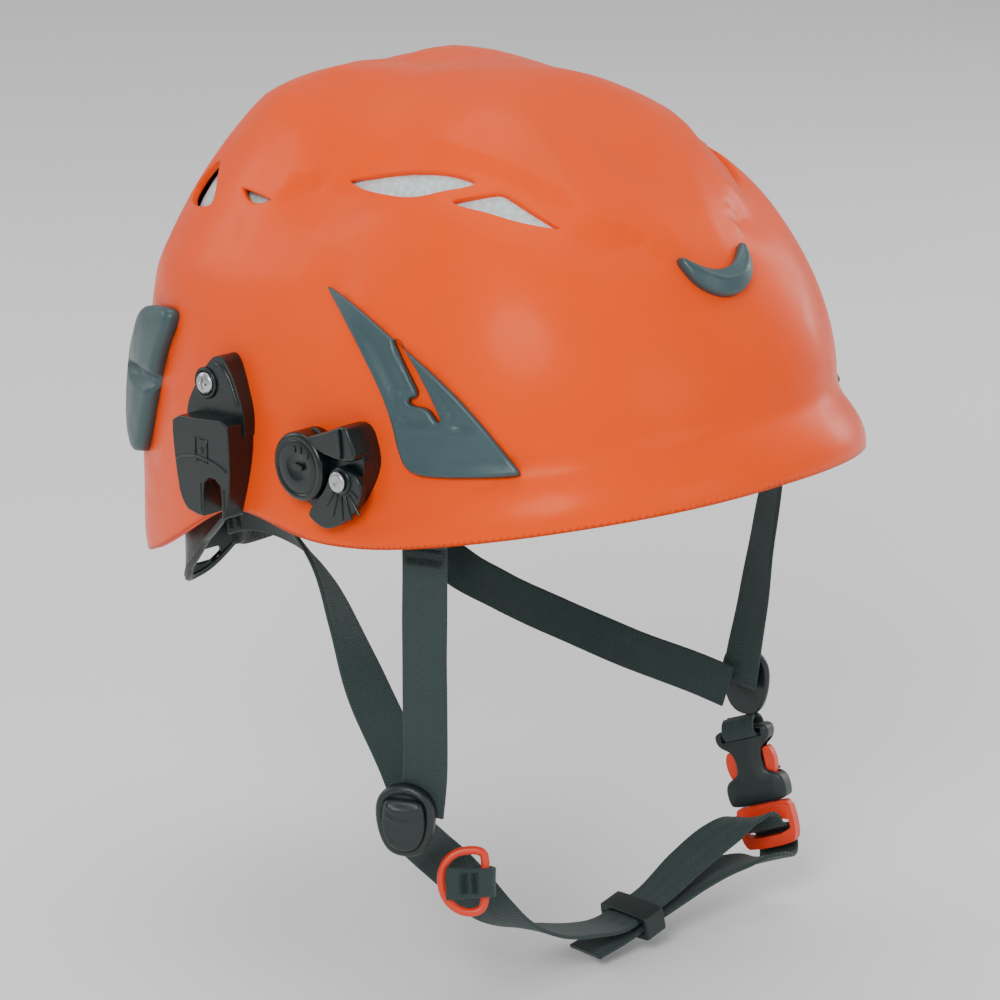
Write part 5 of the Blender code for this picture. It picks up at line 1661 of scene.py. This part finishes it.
def build_wheel():
    """The size wheel: a knurled grip, a stepped face with an arrow ring, and its shaft."""
    face = CRADLE_ROWS[0][1] + CRADLE_THICKNESS / 2 + 0.4
    place = frame_at((0, 0, WHEEL_HEIGHT), (-1, 0, 0), (0, 0, 1))
    grip = ((1.6, 0), (0.6, 1), (0.5, 5.6), (0.9, 6.5), (1.9, 7), (3.4, 6.9), (4.2, 5.6), (6.5, 5.4),
            (7, 5.9), (9, 6.3))
    profile = ((0, face - 3.8), (SHAFT_RADIUS, face - 3.8), (SHAFT_RADIUS, face),
               *[(WHEEL_RADIUS - inset, face + height) for inset, height in grip], (0, face + 6.4))
    core = spun("core", profile, place, 72)
    knurls = []
    for i in range(24):
        t = 2 * math.pi * i / 24
        r = WHEEL_RADIUS - 0.75
        knurls.append(bead("knurl", [(r * math.cos(t), r * math.sin(t), face + h) for h in (1.3, 3.5, 5.6)],
                           0.7, place))
    arrows = []
    for turn in (60, 240):
        arc = [(7.8 * math.cos(math.radians(turn + a)), 7.8 * math.sin(math.radians(turn + a)), face + 5.55)
               for a in range(0, 61, 6)]
        arrows.append(bead("arrow", arc, 0.4, place))
    wheel = joined("wheel_knob", [core, *knurls, *arrows])
    settle(sharp_shaded(wheel), "dark_plastic", "wheel", "size_wheel")


# ---------------------------------------------------------------- pads
PAD_VOXEL, PAD_INSET, CLOTH_FRAMES = 0.0022, 0.7, 20


def shrink_and_pin(thing, inset, quilts):
    """Draw the pad in, pin its quilting lines in a group, and give the points."""
    mesh = thing.data
    count = len(mesh.vertices)
    points, normals = np.empty(count * 3), np.empty(count * 3)
    mesh.vertices.foreach_get("co", points)
    mesh.vertices.foreach_get("normal", normals)
    points = points - normals * inset * MM
    mesh.vertices.foreach_set("co", points)
    group = thing.vertex_groups.new(name="quilting")
    held = quilts(points.reshape(-1, 3) / MM)
    group.add([int(i) for i in np.nonzero(held)[0]], 1.0, "REPLACE")
    return points.reshape(-1, 3)


def stuffed(name, node, body, quilts, pressure=4.0, reach=1.6):
    """A padded piece in the CAD node's shape, which cloth pressure moves by less than 1 mm.
    """
    source = frame["nodes"][node]
    mesh = source.data.copy()
    mesh.transform(source.matrix_world)
    thing = bpy.data.objects.new(name, mesh)
    bpy.context.scene.collection.objects.link(thing)
    remesh = thing.modifiers.new("remesh", "REMESH")
    remesh.mode, remesh.voxel_size = "VOXEL", PAD_VOXEL
    thing.modifiers.new("soften", "SMOOTH").iterations = 2
    thing = baked(thing)
    start = shrink_and_pin(thing, PAD_INSET, quilts)
    cloth = thing.modifiers.new("cloth", "CLOTH")
    settings = cloth.settings
    settings.quality, settings.mass = 5, 0.15
    settings.tension_stiffness = settings.compression_stiffness = 12
    settings.bending_stiffness = 0.4
    settings.use_pressure, settings.uniform_pressure_force = True, pressure
    settings.vertex_group_mass = "quilting"
    settings.effector_weights.gravity = 0
    cloth.point_cache.frame_start, cloth.point_cache.frame_end = 1, CLOTH_FRAMES
    scene = bpy.context.scene
    for step in range(1, CLOTH_FRAMES + 1):
        scene.frame_set(step)
        bpy.context.view_layer.update()
    thing = baked(thing)
    scene.frame_set(1)
    count = len(thing.data.vertices)
    moved = np.empty(count * 3)
    thing.data.vertices.foreach_get("co", moved)
    shift = moved.reshape(-1, 3) - start
    far = np.linalg.norm(shift, axis=1, keepdims=True)
    capped = start + shift * np.minimum(1, reach * MM / np.maximum(far, 1e-9))
    thing.data.vertices.foreach_set("co", capped.ravel())
    thing.name = name
    finer = thing.modifiers.new("finer", "SUBSURF")
    finer.levels = finer.render_levels = 1
    thing = baked(thing)
    thing.name = name
    settle(thing, "pad", body, node)


def build_pads():
    def across_band(points):
        turn = np.degrees(np.arctan2(points[:, 0], -points[:, 1]))
        return np.abs(np.mod(turn + 12, 24) - 12) < 0.9

    def down_nape(points):
        return np.abs(np.abs(points[:, 0]) - 15) < 1.0

    def over_crown(points):
        turn = np.degrees(np.arctan2(points[:, 0], -points[:, 1]))
        reach = np.hypot(points[:, 0], points[:, 1])
        return (np.abs(np.mod(turn + 30, 60) - 30) * np.radians(1) * reach < 1.2) & (reach > 12)
    stuffed("brow_cushion", "brow_pad", "root", across_band)
    stuffed("nape_cushion", "nape_pad", "cradle", down_nape)
    stuffed("crown_cushion", "crown_pad", "root", over_crown)


# ---------------------------------------------------------------- putting it together
CAD_WELD, CAD_EDGE = 0.00001, 0.0004


def refine_cad_nodes():
    """Round the edges of the CAD nodes that stay, and give each its material."""
    for name, thing in frame["nodes"].items():
        slot = next(p["material_slot"] for p in frame["record"]["subparts"] if p["node"] == name)
        paint(thing, slot)
        weld = thing.modifiers.new("weld", "WELD")
        weld.merge_threshold = CAD_WELD
        bevel = thing.modifiers.new("bevel", "BEVEL")
        bevel.width, bevel.segments, bevel.limit_method = CAD_EDGE, 2, "ANGLE"
        bevel.angle_limit = math.radians(32)
        bevel.harden_normals = False
        thing.data.polygons.foreach_set("use_smooth", [True] * len(thing.data.polygons))
        thing.modifiers.new("normals", "WEIGHTED_NORMAL").keep_sharp = False


def main():
    make_camera()
    make_floor()
    make_lights()
    refine_cad_nodes()
    paint(build_shell(), "orange_shell")
    build_panels()
    for word, side in (("right", -1), ("left", 1)):
        build_earmuff_adapter(word, side)
        build_screw(word, side)
        build_visor_adapter(word, side)
        build_quadrant(word, side)
    build_straps()
    build_dividers()
    build_ring()
    build_adjuster()
    build_buckle()
    build_liner()
    build_headband()
    build_cradle()
    build_wheel()
    build_pads()


main()
